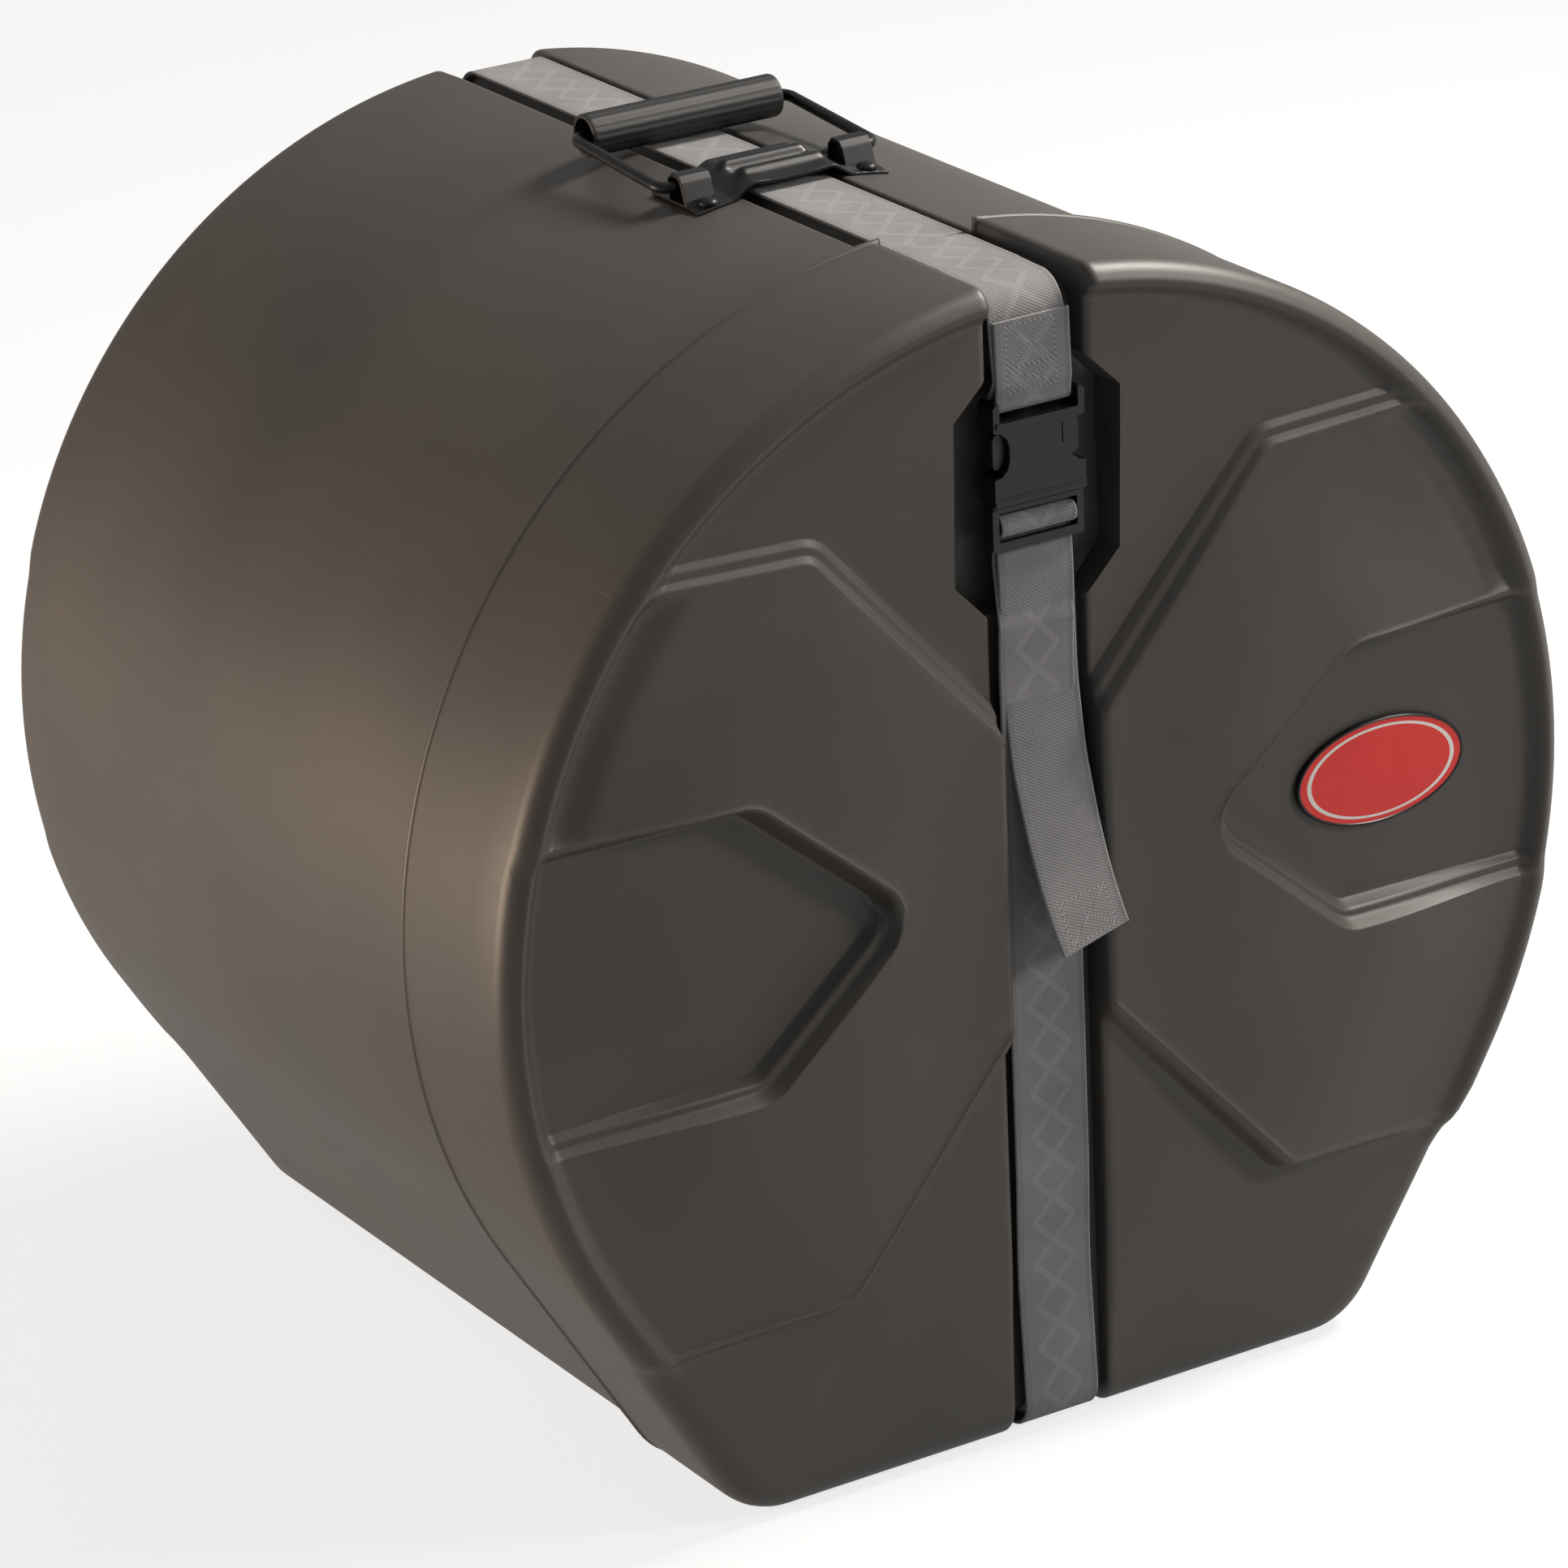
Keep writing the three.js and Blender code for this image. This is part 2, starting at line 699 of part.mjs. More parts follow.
function plug() {
  const half = buckleWidth / 2;
  const frontDepth = buckleY - plugThickness / 2;
  const backY = buckleY + plugThickness / 2;
  const inner = half - plugRail;
  const frame = extrudeY(roundedLoop([
    new THREE.Vector2(-half, plugBottomZ),
    new THREE.Vector2(half, plugBottomZ),
    new THREE.Vector2(half, plugTopZ),
    new THREE.Vector2(-half, plugTopZ),
  ], [socketRound, socketRound, sharpCorner, sharpCorner]), frontDepth, backY)
    .subtract(block(-inner, inner, frontY - overrun, backY + overrun,
      plugBottomZ + lowerBar, plugTopZ - plugShoulder))
    .subtract(block(-inner, inner, tailY - strapLift, backY + overrun, plugBottomZ - overrun,
      plugTopZ - plugShoulder));
  const guide = block(-guideWidth / 2, guideWidth / 2, buckleY - prongThickness / 2,
    buckleY + prongThickness / 2, plugTopZ - plugShoulder, plugTopZ + guideLength);
  return frame.add(guide)
    .add(rodAlongX(wrapBar / 2, -inner - plugRail / 2, inner + plugRail / 2, buckleY, wrapBarZ));
}

// One prong of the plug, on the right; it flexes inward about its root

function prong() {
  const half = buckleWidth / 2;
  const outerX = half - plugRail - prongClearance;
  const padZ = buckleTop - socketLength + windowBase + (windowHeight - padHeight) / 2;
  const lowY = buckleY - prongThickness / 2;
  const highY = buckleY + prongThickness / 2;
  return block(outerX - prongArm, outerX, lowY, highY, plugTopZ + touchGap, plugTopZ + prongLength)
    .add(block(outerX - prongArm, half - padInset, lowY, highY, padZ, padZ + padHeight));
}

// Handle

function rod(radius, lowZ, highZ) {
  const geometry = new THREE.CylinderGeometry(radius, radius, highZ - lowZ, tubeSides);
  geometry.rotateX(Math.PI / 2);
  geometry.translate(0, 0, (lowZ + highZ) / 2);
  return solid(geometry);
}

// Carries a body from the top centre line round the case's axis to each rivet

function rivetPlaces() {
  const angle = THREE.MathUtils.radToDeg(Math.asin(rivetX / bodyRadius));
  const places = [];
  for (const side of [-1, 1]) {
    for (const y of [plateFrontY + rivetInset, plateFrontY + plateWidth - rivetInset]) {
      places.push((body) => body.translate([0, y, -axisHeight]).rotate([0, side * angle, 0])
        .translate([0, 0, axisHeight]));
    }
  }
  return places;
}

function rivets(grow) {
  const plateTop = bodyTop + touchGap + plateThickness;
  const tailZ = washerTopZ - washerThickness - touchGap;
  return rivetPlaces().map((place) => {
    const shank = rod(rivetRadius + grow, tailZ - rivetHeadHeight, plateTop + rivetHeadHeight + touchGap);
    const head = rod(rivetHead, plateTop + touchGap, plateTop + touchGap + rivetHeadHeight);
    const tail = rod(rivetHead, tailZ - rivetHeadHeight, tailZ);
    return place(grow > 0 ? shank : shank.add(head).add(tail));
  });
}

function washers() {
  const holes = rivets(runningGap);
  return rivetPlaces().map((place, i) => (
    place(rod(washerRadius, washerTopZ - washerThickness, washerTopZ)).subtract(holes[i])));
}

function handlePlate() {
  const angle = Math.asin(rivetX / bodyRadius);
  const seat = bodyRadius + touchGap + plateThickness / 2;
  const along = new THREE.Vector2(Math.cos(angle), -Math.sin(angle));
  const rivetPoint = new THREE.Vector2(seat * Math.sin(angle), axisHeight + seat * Math.cos(angle));
  const right = [
    new THREE.Vector2(archHalf, bodyTop + plateArch),
    rivetPoint.clone().addScaledVector(along, archFoot - rivetX),
    rivetPoint.clone().addScaledVector(along, plateHalf - rivetX),
  ];
  const path = [...right.map((point) => new THREE.Vector2(-point.x, point.y)).reverse(), ...right];
  const radii = path.slice(1, -1).map(() => plateBend);
  const middleY = plateFrontY + plateWidth / 2;
  const topZ = bodyTop + plateArch + plateThickness / 2;
  const ribs = [-1, 1].map((side) => (
    rodAlongX(ribWidth / 2, -ribHalf, ribHalf, middleY + side * ribSpacing / 2, topZ)));
  const knuckles = bothSides(rodAlongX(knuckleRadius, plateHalf - knuckleLength, plateHalf, pivotY, pivotZ));
  const slotHalf = (ribSpacing - ribWidth) / 2 - ribShoulder;
  return extrudeY(stripOutline(roundedPath(path, radii), plateThickness), plateFrontY,
    plateFrontY + plateWidth)
    .add(union([...ribs, knuckles]))
    .subtract(block(-ribHalf, ribHalf, middleY - slotHalf, middleY + slotHalf, bodyTop, topZ + overrun))
    .subtract(rodAlongX(bailRadius + runningGap, -plateHalf - overrun, plateHalf + overrun, pivotY, pivotZ)
      .subtract(block(-plateHalf + knuckleLength, plateHalf - knuckleLength, pivotY - overrun,
        pivotY + overrun, bodyTop, pivotZ + overrun)))
    .subtract(union(rivets(runningGap)));
}

// A round rod along a path drawn in the plane of X and the bail's legs

function bail() {
  const endX = plateHalf - knuckleLength + bailRadius;
  const right = [
    new THREE.Vector2(bailHalf, bailReach),
    new THREE.Vector2(bailHalf, 0),
    new THREE.Vector2(endX, 0),
  ];
  const path = roundedPath([...right.map((point) => new THREE.Vector2(-point.x, point.y)).reverse(),
    ...right], [bailBend, bailBend, bailBend, bailBend]);
  const rings = path.map((point, i) => {
    const back = i > 0 ? point.clone().sub(path[i - 1]).normalize() : null;
    const ahead = i + 1 < path.length ? path[i + 1].clone().sub(point).normalize() : null;
    const along = (back ?? ahead).clone().add(ahead ?? back).normalize();
    const across = new THREE.Vector2(along.y, -along.x);
    const wider = 1 / along.dot(ahead ?? back);
    return Array.from({ length: tubeSides }, (_, k) => {
      const angle = 2 * Math.PI * k / tubeSides;
      const reach = bailRadius * Math.cos(angle) * wider;
      return new THREE.Vector3(point.x + across.x * reach, point.y + across.y * reach,
        bailRadius * Math.sin(angle));
    });
  });
  return solid(loft(rings));
}

function grip() {
  return rodAlongX(gripRadius, -gripLength / 2, gripLength / 2, bailReach, 0)
    .subtract(rodAlongX(bailRadius + touchGap, -gripLength, gripLength, bailReach, 0));
}

// Badge

function ellipse(grow, lowY, highY) {
  const points = [];
  for (let i = 0; i < roundSteps; i++) {
    const angle = 2 * Math.PI * i / roundSteps;
    points.push(new THREE.Vector2(badgeX + (badgeHalfWidth + grow) * Math.cos(angle),
      faceCentre + pocketCentreZ + (badgeHalfHeight + grow) * Math.sin(angle)));
  }
  return extrudeY(points, lowY, highY);
}

function badgeBase() {
  const backY = frontY + pocketDepth - touchGap;
  return ellipse(0, backY - badgeThickness, backY)
    .subtract(ellipse(-badgeRim, backY - badgeThickness - overrun, backY - badgeThickness + badgeInlay));
}

function badgeFace() {
  const backY = frontY + pocketDepth - touchGap * 2 - badgeThickness + badgeInlay;
  return ellipse(-badgeRim - touchGap, backY - badgeInlay, backY);
}

// The assembly

function part(name, body, material) {
  const mesh = new THREE.Mesh(geometryOf(body), material);
  mesh.name = name;
  return mesh;
}

const drumCase = new THREE.Group();
drumCase.add(
  part('body_shell', bodyShell(), materials.caseShell),
  part('lid_shell', lidShell(), materials.caseShell),
  part('lid_foam_pad', lidPad(), materials.foam),
  part('body_foam_pad', bodyPad(), materials.foam),
  part('body_foam_lining', bodyLining(), materials.foam),
  part('strap_body_run', bodyStrap(), materials.webbing),
  part('strap_upper', upperStrap(), materials.webbing),
  part('strap_lower', lowerStrap(), materials.webbing),
  part('strap_tail', tailStrap(), materials.webbing),
  part('buckle_socket', socket(), materials.buckle),
  part('buckle_plug', plug(), materials.buckle),
  part('buckle_prong_right', prong(), materials.buckle),
  part('buckle_prong_left', prong().mirror([1, 0, 0]), materials.buckle),
  part('handle_plate', handlePlate(), materials.steel),
  ...rivets(0).map((body, i) => part(`handle_rivet_${i + 1}`, body, materials.steel)),
  ...washers().map((body, i) => part(`handle_washer_${i + 1}`, body, materials.steel)),
  part('badge_base', badgeBase(), materials.badgeBase),
  part('badge_face', badgeFace(), materials.badgeFace),
);

// The bail and its grip are drawn flat, then laid back on the case

const carryHandle = new THREE.Group();
carryHandle.position.set(0, pivotY, pivotZ);
carryHandle.rotation.x = Math.asin((bodyTop + gripRadius + touchGap - pivotZ) / bailReach);
carryHandle.add(
  part('handle_bail', bail(), materials.steel),
  part('handle_grip', grip(), materials.grip),
);
drumCase.add(carryHandle);

// The origin lies on the base, under the middle of the whole

drumCase.position.y = -new THREE.Box3().setFromObject(drumCase).getCenter(new THREE.Vector3()).y;

export default drumCase;
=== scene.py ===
"""Looks of the drum case: its moulded shells, strap, buckle, handle, badge and foam,
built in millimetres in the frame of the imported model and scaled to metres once."""

import math

import bmesh
import bpy
import numpy as np
from mathutils import Matrix, Vector, geometry

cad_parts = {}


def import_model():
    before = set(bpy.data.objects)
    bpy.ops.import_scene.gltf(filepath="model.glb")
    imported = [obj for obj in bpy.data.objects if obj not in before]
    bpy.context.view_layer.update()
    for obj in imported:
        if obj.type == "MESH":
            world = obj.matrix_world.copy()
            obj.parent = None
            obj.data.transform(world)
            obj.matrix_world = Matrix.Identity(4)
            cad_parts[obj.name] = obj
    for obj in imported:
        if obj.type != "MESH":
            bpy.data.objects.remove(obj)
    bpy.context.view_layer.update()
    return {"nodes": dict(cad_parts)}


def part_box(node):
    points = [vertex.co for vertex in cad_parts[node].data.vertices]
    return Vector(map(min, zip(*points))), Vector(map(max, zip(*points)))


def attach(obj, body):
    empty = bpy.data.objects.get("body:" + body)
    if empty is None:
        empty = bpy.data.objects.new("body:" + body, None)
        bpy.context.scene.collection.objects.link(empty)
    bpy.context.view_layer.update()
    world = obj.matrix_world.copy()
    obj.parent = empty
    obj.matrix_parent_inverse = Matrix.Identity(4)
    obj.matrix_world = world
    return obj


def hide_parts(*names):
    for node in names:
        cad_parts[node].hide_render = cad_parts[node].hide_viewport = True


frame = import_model()
# Turns millimetres into the frame's metres
MILLIMETRES = Matrix.Scale(0.001, 4)

# Overall shape, millimetres. The outline is round above its axis and runs in straight, tilted
# sides to a flat base. SEAM is the lid's depth, NECK how far the body's neck goes into it.
FRONT, REAR = -286.734, 301.266
DEPTH = REAR - FRONT
AXIS_Z, FACE_Z = 331.0, 335.0
TILT = math.radians(31)
SEAM, NECK, NECK_GAP, WALL = 112.0, 62.0, 6.5, 5.0
LID = dict(radius=345.0, corner=48.0)
BODY = dict(radius=337.0, corner=34.0)
NECK_FORM = dict(radius=335.5, corner=34.0, base=6.5)
# The strap's channel: half width and the draft of its walls, its floor at the face, the top and
# the base, the floor's bend between them, the bed in its middle between two gutters, the bed's
# height, and the radius of the shell's edge over it
CHANNEL, DRAFT = 31.0, 0.8
FLOOR_FACE, FLOOR_TOP, FLOOR_BASE, BEND = 16.5, 663.0, 6.0, 14.0
BED_EDGE, GUTTER_EDGE, GUTTER = 17.5, 20.5, 4.0
BED, BED_MORE, SHOULDER = 2.0, 2.5, 5.0
# The recess round the buckle
RECESS_HALF, RECESS_LOW, RECESS_HIGH, RECESS_DEPTH, RECESS_DRAFT = 53.0, 487.0, 624.5, 30.0, 1.4
RECESS = [(CHANNEL, RECESS_LOW), (RECESS_HALF, 510.0), (RECESS_HALF, 603.0), (CHANNEL, RECESS_HIGH)]


def smooth(t):
    t = np.clip(t, 0.0, 1.0)
    return t * t * (3 - 2 * t)


def runs(points):
    """Distance along a line at each of its points."""
    return np.concatenate([[0], np.cumsum(np.linalg.norm(np.diff(points, axis=0), axis=1))])


def unit(vectors):
    return vectors / np.linalg.norm(vectors, axis=1)[:, None]


def turns(radius, sides):
    """Points of a circle."""
    return [(radius * math.cos(2 * math.pi * i / sides), radius * math.sin(2 * math.pi * i / sides))
            for i in range(sides)]


def skin(rows, sides, start=0, ring=False):
    """Quads between rows of points, each row closed; a ring's last row meets its first."""
    faces = []
    for i in range(rows if ring else rows - 1):
        a, b = start + i * sides, start + (i + 1) % rows * sides
        faces += [(a + k, a + (k + 1) % sides, b + (k + 1) % sides, b + k) for k in range(sides)]
    return faces


def caps(rows, sides, start=0):
    last = start + (rows - 1) * sides
    return [tuple(range(start, start + sides))[::-1], tuple(range(last, last + sides))]


def placed(name, data):
    made = bpy.data.objects.new(name, data)
    bpy.context.scene.collection.objects.link(made)
    return made


def mesh_of(name, verts, faces, unit=1000):
    """A mesh from points, given in millimetres unless the unit says otherwise."""
    mesh = bpy.data.meshes.new(name)
    mesh.from_pydata((np.array(verts, float) / unit).tolist(), [], faces)
    return mesh


def evaluated(piece):
    """A new mesh with the piece's modifiers applied."""
    bpy.context.view_layer.update()
    graph = bpy.context.evaluated_depsgraph_get()
    return bpy.data.meshes.new_from_object(piece.evaluated_get(graph))


# Distances on the face


def rounded_min(a, b, g, r):
    """The lesser of two distances to lines whose inward normals have dot product g,
    with the corner between them rounded to radius r."""
    u, v = a - r, b - r
    inside = (u - g * v < 0) & (v - g * u < 0)
    reach = np.sqrt(np.maximum((u * u + v * v - 2 * g * u * v) / (1 - g * g), 0))
    return np.where(inside, r - reach, np.minimum(a, b))


def inset_of(form, x, z):
    """How far a point of the face lies inside the outline."""
    ax = np.abs(x)
    radius = form["radius"]
    round_ = radius - np.hypot(ax, z - AXIS_Z)
    side = radius - (ax * math.cos(TILT) + (AXIS_Z - z) * math.sin(TILT))
    low = rounded_min(side, z, math.sin(TILT), form["corner"])
    return np.where(np.arctan2(z - AXIS_Z, ax) >= -TILT, round_, low)


def ring(form, inset):
    """Right half of the outline drawn in by an inset, from the base's middle to the top."""
    corner_steps, round_steps, least_bend, side_step = 9, 90, 6.0, 8
    radius = form["radius"] - inset
    bend = max(form["corner"] - inset, least_bend)
    base = form.get("base", 0.0) + inset
    bend_z = base + bend
    bend_x = (radius - bend + math.sin(TILT) * (bend_z - AXIS_Z)) / math.cos(TILT)
    points = [(x, base) for x in np.linspace(0, bend_x, 25)[:-1]]
    for i in range(corner_steps + 1):
        a = -math.pi / 2 + (math.pi / 2 - TILT) * i / corner_steps
        points.append((bend_x + bend * math.cos(a), bend_z + bend * math.sin(a)))
    start = np.array(points[-1])
    end = np.array([radius * math.cos(-TILT), AXIS_Z + radius * math.sin(-TILT)])
    count = int(np.linalg.norm(end - start) / side_step)
    points += [tuple(start + (end - start) * i / count) for i in range(1, count)]
    for i in range(round_steps + 1):
        a = -TILT + (math.pi / 2 + TILT) * i / round_steps
        points.append((radius * math.cos(a), AXIS_Z + radius * math.sin(a)))
    return np.array(points)


class Corner:
    """Two straight edges that meet at a corner; distance is measured inward from both."""

    def __init__(self, before, corner, after, radius, out=0.0):
        p, q, s = (np.array(v, float) for v in (before, corner, after))
        self.along = [(b - a) / np.linalg.norm(b - a) for a, b in ((p, q), (q, s))]
        self.normals = [np.array([-b, a]) for a, b in self.along]
        self.at, self.radius, self.out = q, radius, out
        self.g = float(self.normals[0] @ self.normals[1])

    def distances(self, x, z):
        return [n[0] * (x - self.at[0]) + n[1] * (z - self.at[1]) + self.out for n in self.normals]

    def __call__(self, x, z):
        a, b = self.distances(x, z)
        return rounded_min(a, b, self.g, self.radius)

    def level(self, d):
        """Points of the line that lies at distance d."""
        d -= self.out
        r = self.radius - self.out
        n0, n1 = self.normals
        det = n0[0] * n1[1] - n0[1] * n1[0]

        def meet(v):
            return self.at + np.array([v * (n1[1] - n0[1]), v * (n0[0] - n1[0])]) / det

        centre, reach = meet(r), r - d
        if reach <= 0.3:
            return [meet(d)]
        a0, a1 = (math.atan2(-n[1], -n[0]) for n in self.normals)
        arc = math.atan2(math.sin(a1 - a0), math.cos(a1 - a0))
        steps = max(3, int(abs(arc) * reach / 3))
        angles = [a0 + arc * i / steps for i in range(steps + 1)]
        return [centre + reach * np.array([math.cos(a), math.sin(a)]) for a in angles]


# Relief of both ends, right half. Two profiles lead from a field up to a panel or down into a
# pocket, as (distance, height): a firm one with a double line, and a soft one. The corners are
# (x, height from the face's centre).
STEP = [(0, 0), (0.7, 0.2), (1.5, 1.4), (4.0, 5.0), (4.9, 6.1), (5.9, 6.5), (8.5, 6.8), (9.3, 7.2),
        (10.1, 8.4), (12.2, 11.7), (13.2, 12.7), (14.4, 13.0)]
SOFT = [(0, 0), (1.5, 0.9), (3.0, 3.3), (4.5, 6.5), (6.0, 9.7), (7.8, 12.2), (10.0, 13.0)]
STEP_X, STEP_Y = np.array(STEP).T
SOFT_X, SOFT_Y = np.array(SOFT).T
FIELD, LOWER_FIELD, POCKET = 13.0, 10.0, 12.0
PANEL_UP = Corner((400, 222.3), (146, 212), (33, 86.5), 26.0, STEP_X[-1])
PANEL_LOW = Corner((35.9, -86.5), (145.4, -207.7), (400, -222), 24.0, SOFT_X[-1])
POCKET_UP = Corner((400, 91.5), (193, 91.5), (89.6, 4.6), 26.0)
POCKET_LOW = Corner((89.6, 4.6), (187.8, -79.5), (400, -82.5), 26.0)
TIP = Corner((193, 91.5), (89.6, 4.6), (187.8, -79.5), 26.0)


def stepped(d):
    return np.interp(d, STEP_X, STEP_Y) / STEP_Y[-1]


def soft(d):
    return np.interp(d, SOFT_X, SOFT_Y) / SOFT_Y[-1]


def crested(t):
    """A narrow crest where a soft step begins."""
    return np.exp(-(t / 1.3) ** 2)


def rounded_off(depth, radius, inset):
    """The face rounded over into the side, by a quarter circle at its edge."""
    within = np.clip(radius - inset, 0, radius)
    return depth + radius - np.sqrt(np.maximum(radius * radius - within * within, 0))


def relief(form, x, z):
    """Depth of the moulded face behind its front plane."""
    x = np.abs(x)
    zc = z - FACE_Z
    e = inset_of(form, x, z)
    up, low = PANEL_UP(x, zc), PANEL_LOW(x, zc)
    # Fields above and below the panel
    upper_field = FIELD - 6.5 * smooth((zc - 120) / 190)
    lower_field = LOWER_FIELD - 1.5 + 4.5 * smooth((-zc - 215) / 115)
    field = np.where(zc > 0, upper_field, lower_field)
    # The panel: crowned to the middle, lower beside the channel, with a hollow inside the rim
    hollow = 5.5 * (1 - smooth((e - 23) / 20)) * smooth((zc - 84) / 26) * smooth((up - 13) / 10)
    crown = 11 * smooth((e - 18) / 110) * smooth((230 - zc) / 140)
    panel = 4 - crown + 6 * (1 - smooth((x - 34) / 110)) + hollow
    depth = field + (panel - field) * np.minimum(stepped(up), soft(low))
    # The pocket: firm along its lower side, soft along the upper, and blended across the tip
    d_up, d_low, tip = POCKET_UP(x, zc), POCKET_LOW(x, zc), TIP(x, zc)
    trim = tip - np.minimum(*TIP.distances(x, zc))
    inward = np.minimum(d_up, d_low) + trim
    share = smooth((d_up - d_low + 9) / 18)
    depth = depth + (POCKET - depth) * (soft(inward) * (1 - share) + stepped(inward) * share)
    upper_edge = crested(d_up + trim + 1.2) * smooth((d_low - d_up) / 10)
    lower_edge = crested(low - SOFT_X[-1] - 1.2) * smooth((up - low) / 10)
    depth = depth - 0.9 * np.maximum(upper_edge, lower_edge)
    # The rim stands round the upper part and runs out where the lower field begins
    zone = smooth((zc + 238) / 40)
    crest = -1.2 + 2.7 * smooth((95 - np.abs(zc - 5)) / 20)
    rim = (1 - smooth((e - 9.5) / 12)) * zone
    return rounded_off(depth + (crest - depth) * rim, 14 + 4 * (1 - zone), e)


def floor_depth(z):
    """Depth of the channel's floor, with its bends at the top and the base."""
    return rounded_off(FLOOR_FACE, BEND, np.minimum(FLOOR_TOP - z, z - FLOOR_BASE))


def recess_inset(x, z):
    """How far a point lies inside the recess round the buckle."""
    x = np.abs(x)
    d = RECESS_HALF - x
    for (x0, z0), (x1, z1), sign in ((RECESS[0], RECESS[1], 1), (RECESS[3], RECESS[2], -1)):
        along = np.array([x1 - x0, z1 - z0])
        along /= np.linalg.norm(along)
        normal = np.array([-along[1], along[0]]) * sign
        d = np.minimum(d, normal[0] * (x - x0) + normal[1] * (z - z0))
    return np.minimum(d, np.minimum(z - RECESS_LOW, RECESS_HIGH - z))


def face_depth(form, x, z, has_recess):
    depth = relief(form, x, z)
    t = np.clip((CHANNEL - np.abs(x)) / DRAFT, 0, 1)
    depth = depth + (floor_depth(z) - depth) * t
    if has_recess:
        t = np.clip(recess_inset(x, z) / RECESS_DRAFT, 0, 1)
        depth = depth + (RECESS_DEPTH - depth) * t
    return depth


# The face's mesh: points on every line where the relief turns, and a plain grid between them

RING_INSETS = [0, 0.5, 1.9, 4.1, 7, 9.5, 11, 12.5, 14, 15.5, 17, 18.5, 20, 22, 25, 28.5, 32, 35.5,
               39, 43]
# The grid's step, how far inside the outline and beside the channel it starts, and how far it
# stays off the steps; points taken as one, and the widest pinhole, in metres
GRID, GRID_INSET, GRID_START, CLEAR = 7.0, 46, 44, 3
SAME_POINT, PINHOLE = 2e-5, 6e-4
WALL_LINES = [CHANNEL + s for s in (0, 0.5, 1.3, 2.4, 3.8, 5.6, 8, 11)]
CHANNEL_LINES = [0, BED_EDGE, GUTTER_EDGE, CHANNEL - DRAFT, *WALL_LINES]


def spaced(points, step):
    """A polyline with points added so that no stretch is longer than step."""
    out = [points[0]]
    for a, b in zip(points, points[1:]):
        a, b = np.array(a, float), np.array(b, float)
        count = max(1, int(math.ceil(np.linalg.norm(b - a) / step)))
        out += [a + (b - a) * i / count for i in range(1, count + 1)]
    return out


def plan_lines(form, has_recess):
    lines = [ring(form, inset) for inset in RING_INSETS]
    top, base = FLOOR_TOP, FLOOR_BASE
    past_base, past_top, past_side, past_rim = -2, 680, 400, 260
    for x in CHANNEL_LINES:
        low, high = (base, top) if x < CHANNEL - 0.1 else (past_base, past_top)
        lines.append(spaced([(x, low), (x, high)], 7))
    for i in range(7):
        s = BEND * math.sin(math.pi / 12 * i)
        lines.append(spaced([(0, top - BEND + s), (CHANNEL, top - BEND + s)], 8))
        lines.append(spaced([(0, base + BEND - s), (CHANNEL, base + BEND - s)], 8))
    for corner, knots in ((PANEL_UP, STEP_X), (PANEL_LOW, [*SOFT_X, 11.2, 12.4, 14.0])):
        for d in knots:
            arc = corner.level(d)
            first = arc[0] - corner.along[0] * past_side
            last = arc[-1] + corner.along[1] * past_side
            lines.append([(p[0], p[1] + FACE_Z) for p in spaced([first, *arc, last], 6)])
    for d in sorted({-4.0, -2.4, -1.2} | set(STEP_X) | set(SOFT_X)):
        upper, tip, lower = POCKET_UP.level(d), TIP.level(d), POCKET_LOW.level(d)
        path = [upper[0] - POCKET_UP.along[0] * past_rim, *upper, *tip, *lower,
                lower[-1] + POCKET_LOW.along[1] * past_rim]
        lines.append([(p[0], p[1] + FACE_Z) for p in spaced(path, 6)])
    if has_recess:
        for d in (0, RECESS_DRAFT):
            (x0, z0), (x1, z1), (x2, z2), (x3, z3) = RECESS
            lines.append(spaced([(0, z0 + d), (x0 - d * 0.3, z0 + d), (x1 - d, z1 + d * 0.4),
                                 (x2 - d, z2 - d * 0.4), (x3 - d * 0.3, z3 - d), (0, z3 - d)], 5))
    return lines


